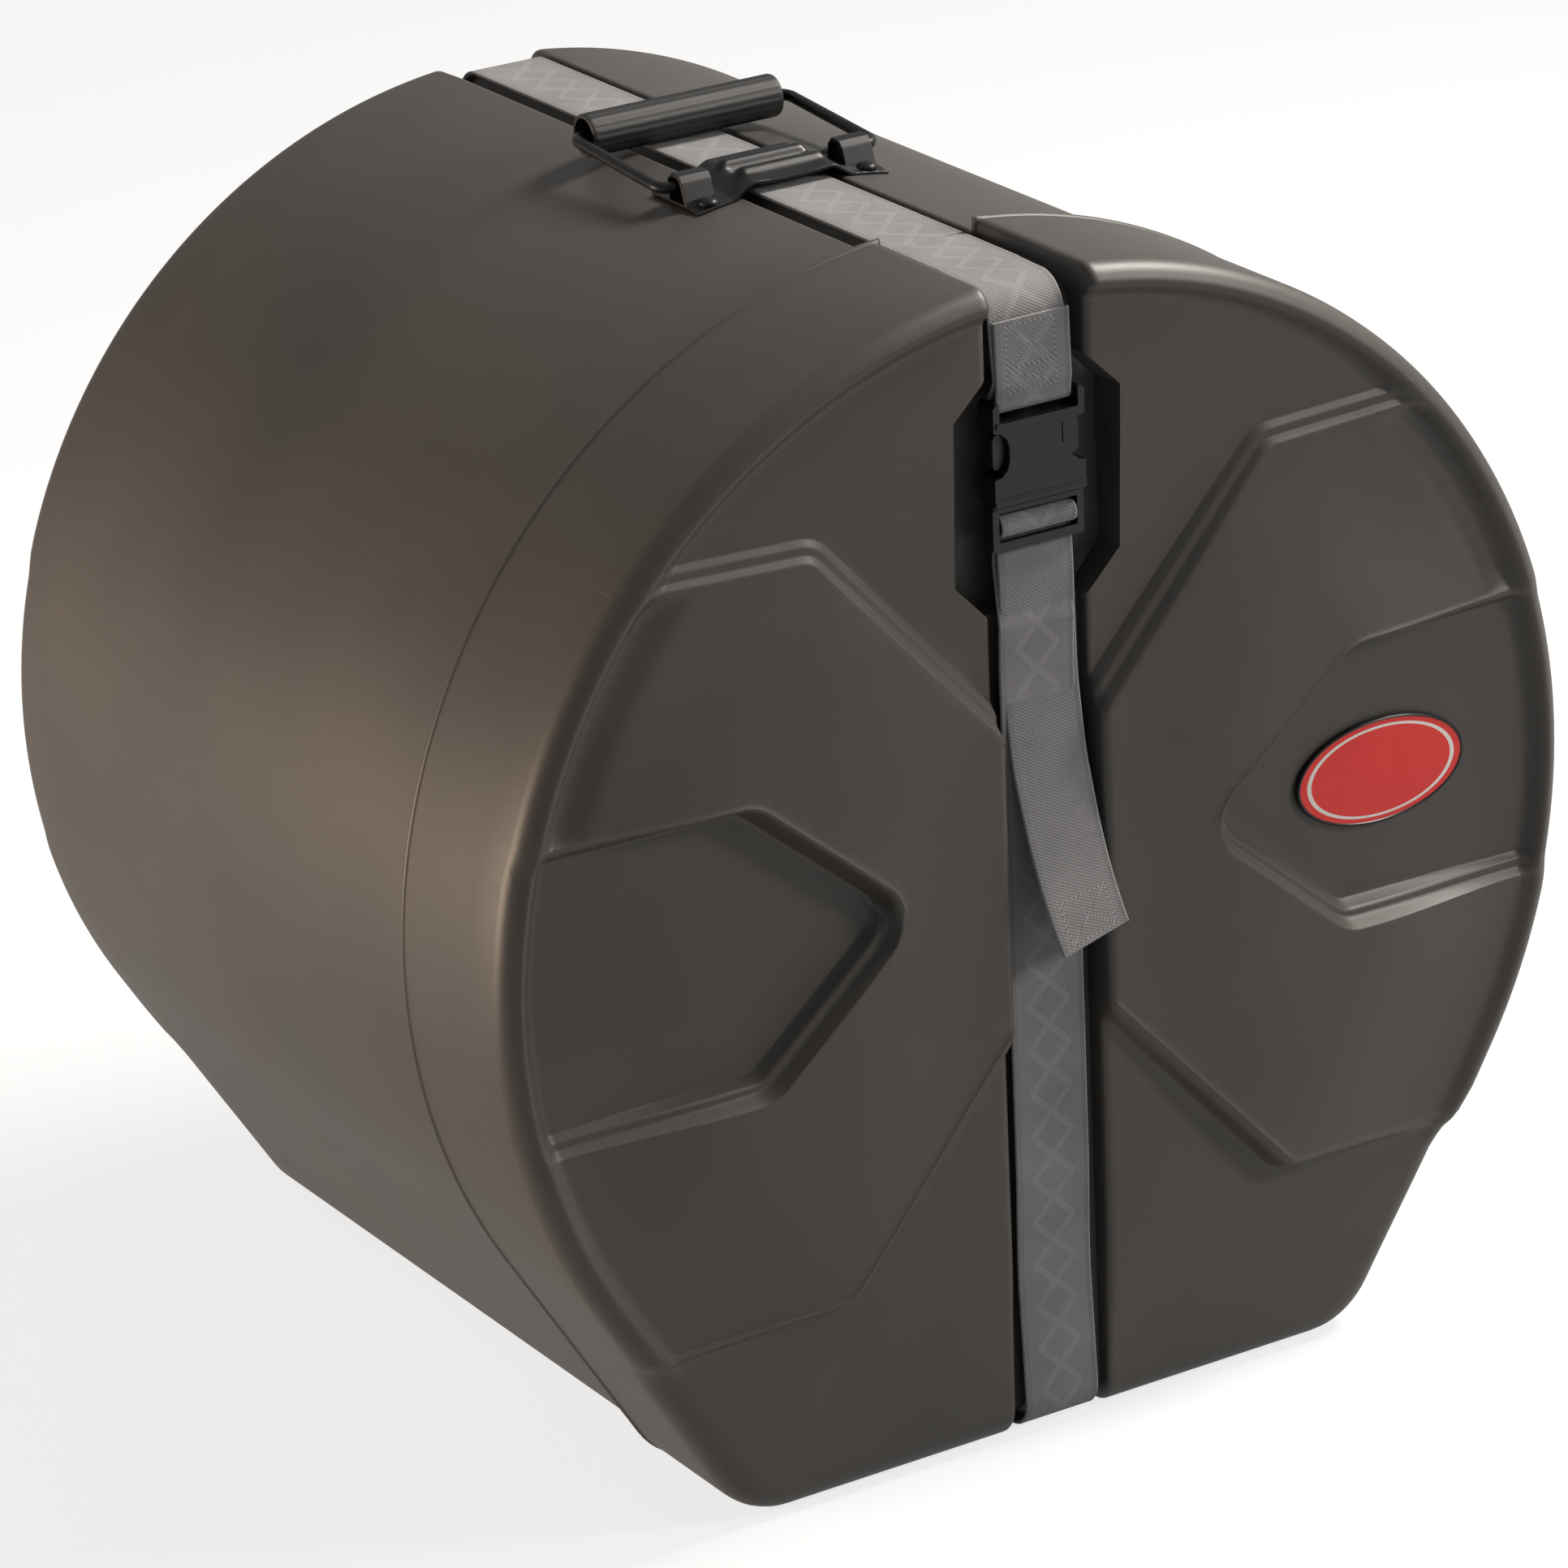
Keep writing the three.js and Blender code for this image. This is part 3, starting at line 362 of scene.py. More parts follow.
def plan_mesh(form, has_recess):
    """Right half of the face as triangles on the plan, with every line of the relief in it."""
    points, edges = [], []
    for line in plan_lines(form, has_recess):
        line = np.array(line)
        keep = (line[:, 0] > -0.01) & (inset_of(form, line[:, 0], line[:, 1]) > -9)
        start = len(points)
        points += [tuple(p) for p in line]
        edges += [(start + i, start + i + 1) for i in range(len(line) - 1)
                  if keep[i] and keep[i + 1]]
    xs = np.arange(0, form["radius"], GRID)
    zs = np.arange(0, AXIS_Z + form["radius"], GRID * 0.866)
    gx, gz = np.meshgrid(xs, zs)
    gx = gx + (np.arange(len(zs)) % 2)[:, None] * GRID / 2
    gx, gz = gx.ravel(), gz.ravel()
    zc = gz - FACE_Z
    free = (inset_of(form, gx, gz) > GRID_INSET) & (gx > GRID_START)
    pocket = np.minimum(np.minimum(POCKET_UP(gx, zc), POCKET_LOW(gx, zc)), TIP(gx, zc))
    for d, end in ((PANEL_UP(gx, zc), STEP_X[-1]), (PANEL_LOW(gx, zc), SOFT_X[-1]),
                   (pocket, STEP_X[-1])):
        free &= (d < -CLEAR) | (d > end + CLEAR)
    if has_recess:
        free &= recess_inset(gx, gz) < -4
    points += list(zip(gx[free], gz[free]))
    verts, _, faces, *_ = geometry.delaunay_2d_cdt([Vector(p) for p in points], edges, [], 0, 0.01)
    verts = np.array([tuple(v) for v in verts])
    faces = np.array([tuple(f) for f in faces])
    middle = verts[faces].mean(axis=1)
    keep = inset_of(form, middle[:, 0], middle[:, 1]) > 0.004
    keep &= middle[:, 0] > 0
    inner = middle[:, 0] < CHANNEL
    keep &= ~(inner & ((middle[:, 1] > FLOOR_TOP) | (middle[:, 1] < FLOOR_BASE)))
    a, b, c = (verts[faces[:, i]] for i in range(3))
    (bx, bz), (cx, cz) = (b - a).T, (c - a).T
    area = np.abs(bx * cz - bz * cx) / 2
    return verts, faces[keep & (area > 1e-4)]


class Builder:
    """Collects points and faces of one half of a shell, in millimetres from its own front."""

    def __init__(self):
        self.points, self.faces = [], []

    def add(self, points):
        start = len(self.points)
        self.points += [tuple(float(c) for c in p) for p in points]
        return list(range(start, len(self.points)))

    def level(self, line, depth):
        """A line of the plan, (x, z), set at a depth."""
        return self.add([(x, depth, z) for x, z in line])

    def strip(self, a, b):
        for i in range(len(a) - 1):
            quad = []
            for v in (a[i], a[i + 1], b[i + 1], b[i]):
                if v not in quad:
                    quad.append(v)
            if len(quad) > 2:
                self.faces.append(tuple(quad))

    def bridge(self, a, b):
        """Fills between two chains with triangles, always along the shorter diagonal."""
        i = j = 0
        at = [np.array(p) for p in self.points]

        def far(one, other):
            return np.linalg.norm(at[one] - at[other])

        while i + 1 < len(a) or j + 1 < len(b):
            if j + 1 >= len(b) or (i + 1 < len(a) and far(a[i + 1], b[j]) <= far(a[i], b[j + 1])):
                self.faces.append((a[i], a[i + 1], b[j]))
                i += 1
            else:
                self.faces.append((a[i], b[j + 1], b[j]))
                j += 1


def notched(form, inset, deeper, wider=None):
    """Right half of the outline with the strap's channel cut into it, base to top. The cut is
    deeper than the channel, and wider, by the same unless that is given."""
    half = CHANNEL + (deeper if wider is None else wider)
    floor_low, floor_high = FLOOR_BASE + deeper, FLOOR_TOP - deeper
    low = [(0, floor_low), (half - DRAFT, floor_low)]
    high = [(half - DRAFT, floor_high), (0, floor_high)]
    kept = [p for p in ring(form, inset) if p[0] > half]
    radius = form["radius"] - inset
    first = (half, form.get("base", 0.0) + inset)
    last = (half, AXIS_Z + math.sqrt(radius ** 2 - half ** 2))
    return [*low, first, *map(tuple, kept), last, *high]


def bed_rise(d, z, is_lid):
    """How far the strap's bed stands above the channel's floor: more in front, on the lid."""
    more = smooth((z - 60) / 100) * smooth((SEAM - d) / 60) if is_lid else 0
    return BED + BED_MORE * more


def channel_drop(points, form):
    """Shapes the channel: a raised bed between two gutters, and the shell rounded over into it."""
    p = np.array(points)
    x, d, z = np.abs(p[:, 0]), p[:, 1], p[:, 2]
    core_z = np.clip(z, FLOOR_BASE + BEND, FLOOR_TOP - BEND)
    core_d = np.maximum(d, FLOOR_FACE + BEND)
    vz, vd = z - core_z, d - core_d
    length = np.maximum(np.hypot(vz, vd), 1e-6)
    room = np.maximum(length - BEND, 0)
    on_floor = (x < CHANNEL - DRAFT + 1e-3) & (np.abs(length - BEND) < 0.2)
    bed = smooth((GUTTER_EDGE - x) / (GUTTER_EDGE - BED_EDGE))
    rise = on_floor * (bed * bed_rise(d, z, form is LID) - (1 - bed) * GUTTER)
    p[:, 2] += rise * vz / length
    p[:, 1] += rise * vd / length
    r = np.minimum(SHOULDER, 0.75 * room)
    t = np.clip(1 - (x - CHANNEL) / np.maximum(r, 1e-6), 0, 1) * (x >= CHANNEL - 1e-6)
    drop = r * (1 - np.sqrt(np.maximum(1 - t * t, 0)))
    p[:, 2] -= drop * vz / length
    p[:, 1] -= drop * vd / length
    return p


def shell_mesh(form, back, has_recess):
    """Right half of a shell's outside as far back as its seam; returns its builder and
    the chain of its back edge from the base's middle to the top's."""
    verts, faces = plan_mesh(form, has_recess)
    used = np.unique(faces)
    index = {int(v): i for i, v in enumerate(used)}
    xz = verts[used]
    depth = face_depth(form, xz[:, 0], xz[:, 1], has_recess)
    b = Builder()
    b.add(np.column_stack([xz[:, 0], depth, xz[:, 1]]))
    b.faces = [tuple(index[int(v)] for v in f) for f in faces]
    # Side: the outline's points pushed back to the seam
    near_edge, step = 0.045, 24
    e = inset_of(form, xz[:, 0], xz[:, 1])
    rim = [i for i in range(len(used)) if e[i] < near_edge and xz[i, 0] > CHANNEL - 1e-3]
    rim.sort(key=lambda i: math.atan2(xz[i, 1] - AXIS_Z, xz[i, 0]))
    rows = [rim]
    steps = max(4, int(back / step))
    for k in range(1, steps + 1):
        t = k / steps
        row = [(xz[i, 0], s + (back - s) * t, xz[i, 1]) for i, s in zip(rim, depth[rim])]
        rows.append(b.add(row))
        b.strip(rows[-2], rows[-1])
    # Channel along the top and the base
    chains = {}
    for name, level, sign in (("base", FLOOR_BASE, -1), ("top", FLOOR_TOP, 1)):
        above = (xz[:, 1] - level) * sign
        wall = np.flatnonzero((np.abs(xz[:, 0] - CHANNEL) < 1e-3) & (above > -1e-3)).tolist()
        wall.sort(key=lambda i: above[i])
        wall += [row[0 if sign < 0 else -1] for row in rows[1:]]
        floor = (np.abs(above) < 1e-3) & (xz[:, 0] < CHANNEL - DRAFT + 1e-3)
        floor = sorted(np.flatnonzero(floor).tolist(), key=lambda i: xz[i, 0])
        edge_rows = [floor]
        first = FLOOR_FACE + BEND
        for k in range(1, steps + 1):
            row = [(xz[i, 0], first + (back - first) * k / steps, level) for i in floor]
            edge_rows.append(b.add(row))
            b.strip(edge_rows[-2], edge_rows[-1])
        b.bridge(wall, [row[-1] for row in edge_rows])
        chains[name] = edge_rows[-1]
    b.points = [tuple(p) for p in channel_drop(b.points, form)]
    back_chain = chains["base"] + rows[-1] + chains["top"][::-1]
    return b, back_chain


def mirrored_mesh(name, b, place):
    """Both halves of a shell as one object, placed by a function from (x, depth, z)."""
    p = np.array(b.points)
    left = p * np.array([-1, 1, 1])
    faces = b.faces + [tuple(v + len(p) for v in reversed(f)) for f in b.faces]
    mesh = mesh_of(name, [place(*v) for v in np.vstack([p, left])], faces)
    work = bmesh.new()
    work.from_mesh(mesh)
    bmesh.ops.remove_doubles(work, verts=work.verts, dist=SAME_POINT)
    # Pinholes where a line of the relief meets the rim are drawn shut
    frayed = {v for e in work.edges if len(e.link_faces) != 2 for v in e.verts}
    bmesh.ops.remove_doubles(work, verts=sorted(frayed, key=lambda v: v.index), dist=PINHOLE)
    bmesh.ops.dissolve_degenerate(work, edges=work.edges, dist=1e-6)
    bmesh.ops.recalc_face_normals(work, faces=work.faces)
    work.to_mesh(mesh)
    work.free()
    return finish_mesh(name, mesh, 32)


def finish_mesh(name, mesh, angle, flat_faces=False):
    mesh.shade_smooth()
    mesh.set_sharp_from_angle(angle=math.radians(angle))
    piece = placed(name, mesh)
    if flat_faces:
        normals = piece.modifiers.new("normals", "WEIGHTED_NORMAL")
        normals.keep_sharp = True
    return piece


def lid_place(x, d, z):
    return x, FRONT + d, z


def body_place(x, d, z):
    return -x, REAR - d, z


def make_lid():
    """The lid's shell: a bead along its edge, and the inside of its wall as far as it shows."""
    b, outer = shell_mesh(LID, SEAM - 4.6, True)
    for inset, depth in ((-0.8, 3.6), (-1.1, 2.4), (-0.8, 1.2), (0.2, 0.2), (1.2, 0)):
        edge = b.level([(x, max(z, 0.0)) for x, z in notched(LID, inset, inset)], SEAM - depth)
        b.bridge(outer, edge)
        outer = edge
    inner = notched(LID, WALL, WALL)
    brim, deep = b.level(inner, SEAM), b.level(inner, 32.0)
    b.bridge(outer, brim)
    b.strip(brim, deep)
    return mirrored_mesh("lid_moulding", b, lid_place)


def make_body():
    """The body's shell with its neck, and the inside of its wall as far as it shows."""
    back = DEPTH - SEAM - 0.3
    mouth = DEPTH - SEAM + NECK
    b, outer = shell_mesh(BODY, back, False)
    rings = [notched(NECK_FORM, inset, NECK_GAP + inset) for inset in (0, WALL)]
    foot, outer_lip = b.level(rings[0], back), b.level(rings[0], mouth)
    inner_lip, deep = b.level(rings[1], mouth), b.level(rings[1], mouth - 30)
    b.bridge(outer, foot)
    b.strip(foot, outer_lip)
    b.bridge(outer_lip, inner_lip)
    b.strip(inner_lip, deep)
    return mirrored_mesh("body_moulding", b, body_place)


# Materials


def shader(name, color, roughness, **more):
    material = bpy.data.materials.new(name)
    material.use_nodes = True
    tree = material.node_tree
    bsdf = tree.nodes["Principled BSDF"]
    bsdf.inputs["Base Color"].default_value = (*linear(color), 1)
    bsdf.inputs["Roughness"].default_value = roughness
    for key, value in more.items():
        bsdf.inputs[key.replace("_", " ")].default_value = value
    return material, tree, bsdf


def linear(color):
    value = [int(color[i:i + 2], 16) / 255 for i in (1, 3, 5)]
    return [c / 12.92 if c <= 0.04045 else ((c + 0.055) / 1.055) ** 2.4 for c in value]


def node(tree, kind, **values):
    made = tree.nodes.new("ShaderNode" + kind)
    for key, value in values.items():
        if key in made.bl_rna.properties:
            setattr(made, key, value)
        else:
            made.inputs[key.replace("_", " ")].default_value = value
    return made


class Maths:
    """Math nodes of a tree, written as functions of numbers and sockets: m.add(a, 2)."""

    def __init__(self, tree):
        self.tree = tree

    def __getattr__(self, operation):
        def make(*inputs):
            made = node(self.tree, "Math", operation=operation.upper())
            for i, value in enumerate(inputs):
                if isinstance(value, (int, float)):
                    made.inputs[i].default_value = value
                else:
                    self.tree.links.new(value, made.inputs[i])
            return made.outputs[0]

        return make


def near(m, value, width):
    """1 where a value is closer to zero than a width."""
    return m.less_than(m.absolute(value), width)


def texture(tree, vector, kind, **values):
    made = node(tree, "Tex" + kind, **values)
    tree.links.new(vector, made.inputs["Vector"])
    return made.outputs["Distance" if kind == "Voronoi" else "Fac"]


def mapped(tree, vector, scale, rotation=(0, 0, 0)):
    made = node(tree, "Mapping", Scale=scale, Rotation=rotation)
    tree.links.new(vector, made.inputs["Vector"])
    return made.outputs["Vector"]


def ramp(tree, factor, low, high):
    """A colour between two (place, colour) stops."""
    made = node(tree, "ValToRGB")
    for element, (place, color) in zip(made.color_ramp.elements, (low, high)):
        element.position = place
        element.color = (*linear(color), 1)
    tree.links.new(factor, made.inputs["Fac"])
    return made.outputs["Color"]


def bump(tree, height, strength, distance):
    made = node(tree, "Bump", Strength=strength, Distance=distance)
    tree.links.new(height, made.inputs["Height"])
    return made.outputs["Normal"]


def fed(tree, bsdf, **sources):
    """Links sockets to the shader's inputs of the same names."""
    for key, source in sources.items():
        tree.links.new(source, bsdf.inputs[key.replace("_", " ")])


def case_plastic():
    """Rotation-moulded plastic: fine grain, slight clouding, scuffs that dull and lighten it."""
    material, tree, bsdf = shader("case_plastic", "#47433f", 0.46)
    m = Maths(tree)
    spot = node(tree, "TexCoord").outputs["Object"]
    grain = texture(tree, spot, "Voronoi", feature="SMOOTH_F1", Scale=1100.0)
    fine = texture(tree, spot, "Noise", Scale=2400.0, Detail=3.0)
    broad = texture(tree, spot, "Noise", Scale=7.0, Detail=5.0)
    slanted = mapped(tree, spot, (3.0, 1.0, 16.0), (0.2, 0.6, 0.4))
    scuff = texture(tree, slanted, "Noise", Scale=11.0, Detail=8.0, Roughness=0.75)
    marks = m.multiply(m.maximum(m.subtract(scuff, 0.6), 0.0), 1.2)
    fed(tree, bsdf,
        Normal=bump(tree, m.multiply_add(grain, 0.7, fine), 0.12, 0.00025),
        Base_Color=ramp(tree, m.add(broad, marks), (0.3, "#43403d"), (0.8, "#504c48")),
        Roughness=m.multiply_add(broad, 0.1, m.add(marks, 0.4)))
    return material


# Webbing

STRAP_HALF, STRAP_THICK = 24.0, 2.0


def rounded_path(points, radii, step=2.0):
    """A smooth line of points through a plane path whose corners are rounded."""
    points = [np.array(p, float) for p in points]
    out = [points[0]]
    for i in range(1, len(points) - 1):
        before, corner, after = points[i - 1], points[i], points[i + 1]
        back, ahead = before - corner, after - corner
        lb, la = np.linalg.norm(back), np.linalg.norm(ahead)
        back, ahead = back / lb, ahead / la
        half = math.acos(np.clip(back @ ahead, -1, 1)) / 2
        reach = min(radii[i - 1] / math.tan(half), lb * 0.499, la * 0.499)
        r = reach * math.tan(half)
        middle = (back + ahead) / np.linalg.norm(back + ahead)
        centre = corner + middle * r / math.sin(half)
        a, b = corner + back * reach - centre, corner + ahead * reach - centre
        arc = math.atan2(a[0] * b[1] - a[1] * b[0], a @ b)
        count = max(3, int(abs(arc) * r / 1.2))
        for k in range(count + 1):
            c, s = math.cos(arc * k / count), math.sin(arc * k / count)
            out.append(centre + np.array([a[0] * c - a[1] * s, a[0] * s + a[1] * c]))
    out.append(points[-1])
    kept = [out[0]]
    for p in out[1:]:
        if np.linalg.norm(p - kept[-1]) > 0.05:
            kept.append(p)
    return spaced(kept, step)


def band_mesh(name, centres, across, width=2 * STRAP_HALF, thick=STRAP_THICK, start=0.0):
    """Webbing swept along 3-D centres; its UV map holds millimetres across and along, over 100."""
    c = np.array(centres, float)
    along = unit(np.gradient(c, axis=0))
    across = np.array(across, float)
    if across.ndim == 1:
        across = np.tile(across, (len(c), 1))
    across = unit(across - (across * along).sum(1)[:, None] * along)
    out = np.cross(across, along)
    length = start + runs(c)
    h, k = width / 2, thick / 2
    inner = np.linspace(-h + 1.6, h - 1.6, 11)
    top = [(-h, 0.0), (-h + 0.25, k * 0.75), (-h + 0.9, k * 1.05)] + [(u, k) for u in inner] \
        + [(h - 0.9, k * 1.05), (h - 0.25, k * 0.75)]
    loop = top + [(-u, -w) for u, w in top]
    n = len(loop)
    verts = [c[i] + across[i] * u + out[i] * w for i in range(len(c)) for u, w in loop]
    mesh = mesh_of(name, verts, skin(len(c), n) + caps(len(c), n))
    layer = mesh.uv_layers.new(name="weave")
    for polygon in mesh.polygons:
        for loop_index in polygon.loop_indices:
            v = mesh.loops[loop_index].vertex_index
            i, j = divmod(v, n)
            layer.data[loop_index].uv = (loop[j][0] / 100 + 0.5, length[i] / 100)
    return finish_mesh(name, mesh, 50)


def ribbon(name, path, radii, drift, start=0.0):
    """Webbing along a path of (y, z); drift gives its sideways place at shares of its length."""
    line = rounded_path(path, radii)
    c = np.array([(0.0, p[0], p[1]) for p in line])
    total = runs(c)
    share, place = np.array(drift, float).T
    c[:, 0] = np.interp(total / total[-1], share, place)
    soften = np.ones(15) / 15
    padded = np.concatenate([np.full(7, c[0, 0]), c[:, 0], np.full(7, c[-1, 0])])
    c[:, 0] = np.convolve(padded, soften, "valid")
    return band_mesh(name, c, (1, 0, 0), start=start), total[-1] + start


def webbing(name, motif, patches=()):
    """Grey webbing: fine twill, lighter cords along both edges, a tone-on-tone woven zigzag where
    asked, and box stitching over patches (middle across, middle along, half, half) in mm."""
    material, tree, bsdf = shader(name, "#85817d", 0.78, Sheen_Weight=0.25, Sheen_Roughness=0.5)
    m = Maths(tree)
    uv = node(tree, "UVMap", uv_map="weave").outputs["UV"]
    parts = node(tree, "SeparateXYZ")
    tree.links.new(uv, parts.inputs[0])
    u = m.multiply_add(parts.outputs["X"], 100.0, -50.0)
    v = m.multiply(parts.outputs["Y"], 100.0)
    au = m.absolute(u)
    # Pitches of the threads, the stitches and the motif, and where the edge's cord and hem are
    turn, warp_pitch, weft_pitch, stitch = 2 * math.pi, 1.5, 1.9, 3.2
    motif_pitch, motif_half, motif_line = 13.0, 14.0, 2.6
    cord_from, cord_to, hem_from = 20.2, 22.6, 23.2
    warp = m.sine(m.multiply(u, turn / warp_pitch))
    rows = m.multiply(v, turn / weft_pitch)
    weft = m.sine(m.add(rows, m.multiply(u, turn / (2 * warp_pitch))))
    weave = m.multiply_add(m.multiply(warp, weft), 0.5, 0.5)
    fuzz = texture(tree, uv, "Noise", Scale=90.0, Detail=4.0)
    stain = texture(tree, uv, "Noise", Scale=2.2, Detail=3.0)
    edge = m.multiply(m.greater_than(au, cord_from), m.less_than(au, cord_to))
    hem = m.greater_than(au, hem_from)
    tone = m.multiply_add(weave, 0.22, 0.36)
    for source, share in ((fuzz, 0.34), (m.subtract(stain, 0.5), 0.5), (edge, -0.12),
                          (hem, 0.22)):
        tone = m.multiply_add(source, share, tone)
    height = weave
    if motif:
        zigzag = near(m, m.subtract(au, m.pingpong(v, motif_pitch)), motif_line)
        line = m.multiply(zigzag, m.less_than(au, motif_half))
        tone = m.multiply_add(line, 0.13, tone)
    for pu, pv, hu, hv in patches:
        du = m.absolute(m.subtract(u, pu))
        dv = m.absolute(m.subtract(v, pv))
        within = m.multiply(m.less_than(du, hu + 0.6), m.less_than(dv, hv + 0.6))
        side = near(m, m.subtract(du, hu), 0.65)
        end = near(m, m.subtract(dv, hv), 0.65)
        cross = near(m, m.subtract(m.multiply(du, hv / hu), dv), 0.8)
        seam = m.multiply(within, m.maximum(cross, m.maximum(side, end)))
        along = m.multiply(m.add(u, v), turn / stitch)
        dashes = m.greater_than(m.sine(along), -0.2)
        thread = m.multiply(seam, dashes)
        tone = m.multiply_add(thread, 0.62, m.multiply_add(seam, -0.26, tone))
        height = m.multiply_add(thread, 1.6, m.multiply_add(seam, -1.0, height))
    fed(tree, bsdf,
        Base_Color=ramp(tree, tone, (0.15, "#464646"), (0.95, "#98989a")),
        Normal=bump(tree, m.multiply_add(fuzz, 0.8, height), 0.6, 0.0003))
    return material


# Heights of the buckle's bars and edges, its middle plane, and the webbing's middle over a bed
LIFT = 1.3
SEAM_Y = FRONT + SEAM
BUCKLE_TOP, BUCKLE_Y = 608.0, FRONT + 13.5
LOOP_Z, WRAP_Z = 605.5, 537.9
PLUG_LOW, PLUG_HIGH = 524.7, 550.7
SOCKET_LOW = 551.0
TAIL_Y = BUCKLE_Y + 1.3


def make_straps():
    """Every run of the strap: piece, body, node, whether the motif shows, stitched patches."""
    low, top = FLOOR_BASE - BED - LIFT, FLOOR_TOP + BED + LIFT
    back_y = REAR - FLOOR_FACE + BED + LIFT
    bend = BEND + BED + LIFT
    # From the seam over the base, up the back and over the top to the seam again
    run, _ = ribbon("strap_round_body",
                    [(SEAM_Y + 0.3, low), (back_y, low), (back_y, top), (SEAM_Y + 0.3, top)],
                    [bend, bend], [(0, 0), (0.3, 0), (0.7, 1.5), (1, 2)])
    # From the seam over the lid's top, round the socket's bar and back on itself
    rise = BED + BED_MORE + LIFT
    face_y, front_top, turn = FRONT + FLOOR_FACE - rise, FLOOR_TOP + rise, 3.6
    layer = face_y - 2.3
    upper, end = ribbon("strap_over_lid", [
        (SEAM_Y, top), (SEAM_Y - 55, front_top - 0.4), (face_y, front_top), (face_y, LOOP_Z + 14),
        (BUCKLE_Y + turn, LOOP_Z + 3), (BUCKLE_Y + turn, LOOP_Z - turn),
        (BUCKLE_Y - turn, LOOP_Z - turn), (BUCKLE_Y - turn, LOOP_Z + 2),
        (layer, LOOP_Z + 10), (layer, LOOP_Z + 47)],
        [60, BEND + 4, 8, 5, turn, turn, 5, 8],
        [(0, 2), (0.38, -4), (0.52, -3.5), (0.7, -0.5), (1, -1.8)], start=8)
    # From the seam under the base, up the face and round the plug's bar
    wrap = 4.8
    lower, _ = ribbon("strap_up_face", [
        (SEAM_Y, low), (face_y + 2.5, low), (face_y + 2.5, 90), (face_y, 160), (face_y, 480),
        (BUCKLE_Y + wrap, 516), (BUCKLE_Y + wrap, WRAP_Z + wrap), (BUCKLE_Y - wrap, WRAP_Z + wrap),
        (BUCKLE_Y - wrap, WRAP_Z - wrap), (TAIL_Y, WRAP_Z - wrap), (TAIL_Y, PLUG_LOW)],
        [bend, 80, 80, 14, 14, wrap, wrap, wrap, 2.5],
        [(0, 0), (0.15, 0), (0.3, -3.6), (0.84, -3.6), (0.93, 0), (1, 0)], start=3)
    tail, length = make_tail()
    sewn = [(-1.5, end - 14, 15.5, 11.5), (-1.5, end - 33, 15.5, 6.5)]
    return ((run, "case_body", "strap_body_run", True, []),
            (upper, "lid", "strap_upper", True, sewn),
            (lower, "lid", "strap_lower", True, []),
            (tail, "tail", "strap_tail", False, [(0, length - 15, 16, 12)]))


def make_tail():
    """The loose end: out under the plug, down the face, then curling away and to the right.
    Its places are (z, y, x); the last steps carry a second layer, where the end is folded."""
    places = np.array([(PLUG_LOW - 0.3, TAIL_Y, 0.0), (508, TAIL_Y - 1.8, -0.5),
                       (486, -274.6, -1.2), (444.9, -275.4, -1.1), (401.4, -279.2, 0.5),
                       (358.4, -287.2, 3.9), (336.3, -292.6, 6.2), (315, -298.3, 9.4),
                       (301, -302.0, 12.4)])
    reach = runs(places)
    steps, folded, half_window = 110, 14, 9
    at = np.linspace(0, reach[-1], steps + 1)
    smoothed = [np.interp(at, reach, column) for column in places.T]
    kernel = np.hanning(2 * half_window + 1)
    kernel /= kernel.sum()
    for k, column in enumerate(smoothed):
        first, last = column[1] - column[0], column[-1] - column[-2]
        past = np.arange(1, half_window + 1)
        wide = [column[0] - first * past[::-1], column, column[-1] + last * past]
        smoothed[k] = np.convolve(np.concatenate(wide), kernel, "valid")
    z, y, x = smoothed
    curl = np.clip((at / reach[-1] - 0.5) * 2, 0, 1)
    across = np.column_stack([np.ones(steps + 1), 0.1 * curl, 0.06 * curl])
    centres = np.column_stack([x, y, z])
    band = band_mesh("strap_tail_end", centres, across)
    fold = band_mesh("strap_tail_fold", centres[-folded - 1:] + (0, 1.9, 0.5),
                     across[-folded - 1:], width=47.2, thick=1.7,
                     start=reach[-1] * (1 - folded / steps))
    join(band, fold)
    return band, reach[-1]


def join(piece, *others):
    """Adds other pieces' meshes to a piece."""
    work = bmesh.new()
    for each in (piece, *others):
        work.from_mesh(each.data)
    work.to_mesh(piece.data)
    work.free()
    for each in others:
        bpy.data.objects.remove(each)


# Hard parts: blocks with holes cut in them, their edges rounded


def prism(outline, low, high, axis="y"):
    """A closed body from an outline pushed along an axis; the outline is (x, z) or (y, z)."""
    n = len(outline)
    verts = [(u, level, v) if axis == "y" else (level, u, v)
             for level in (low, high) for u, v in outline]
    faces = [tuple(range(n)), tuple(range(n, 2 * n))[::-1], *skin(2, n)]
    mesh = mesh_of("block", verts, faces, unit=1)
    work = bmesh.new()
    work.from_mesh(mesh)
    bmesh.ops.recalc_face_normals(work, faces=work.faces)
    work.to_mesh(mesh)
    work.free()
    return placed("block", mesh)


def rectangle(x0, x1, z0, z1, r=0.0):
    """A rectangle's outline, with rounded corners where a radius is given."""
    if r <= 0:
        return [(x0, z0), (x1, z0), (x1, z1), (x0, z1)]
    out, steps = [], 4
    for cx, cz, a in ((x1 - r, z0 + r, -90), (x1 - r, z1 - r, 0),
                      (x0 + r, z1 - r, 90), (x0 + r, z0 + r, 180)):
        for i in range(steps + 1):
            t = math.radians(a + 90 * i / steps)
            out.append((cx + r * math.cos(t), cz + r * math.sin(t)))
    return out


def brick(x0, x1, y0, y1, z0, z1, r=0.0):
    return prism(rectangle(x0, x1, z0, z1, r), y0, y1)


def rod_x(radius, x0, x1, y, z):
    return prism([(y + u, z + v) for u, v in turns(radius, 24)], x0, x1, "x")


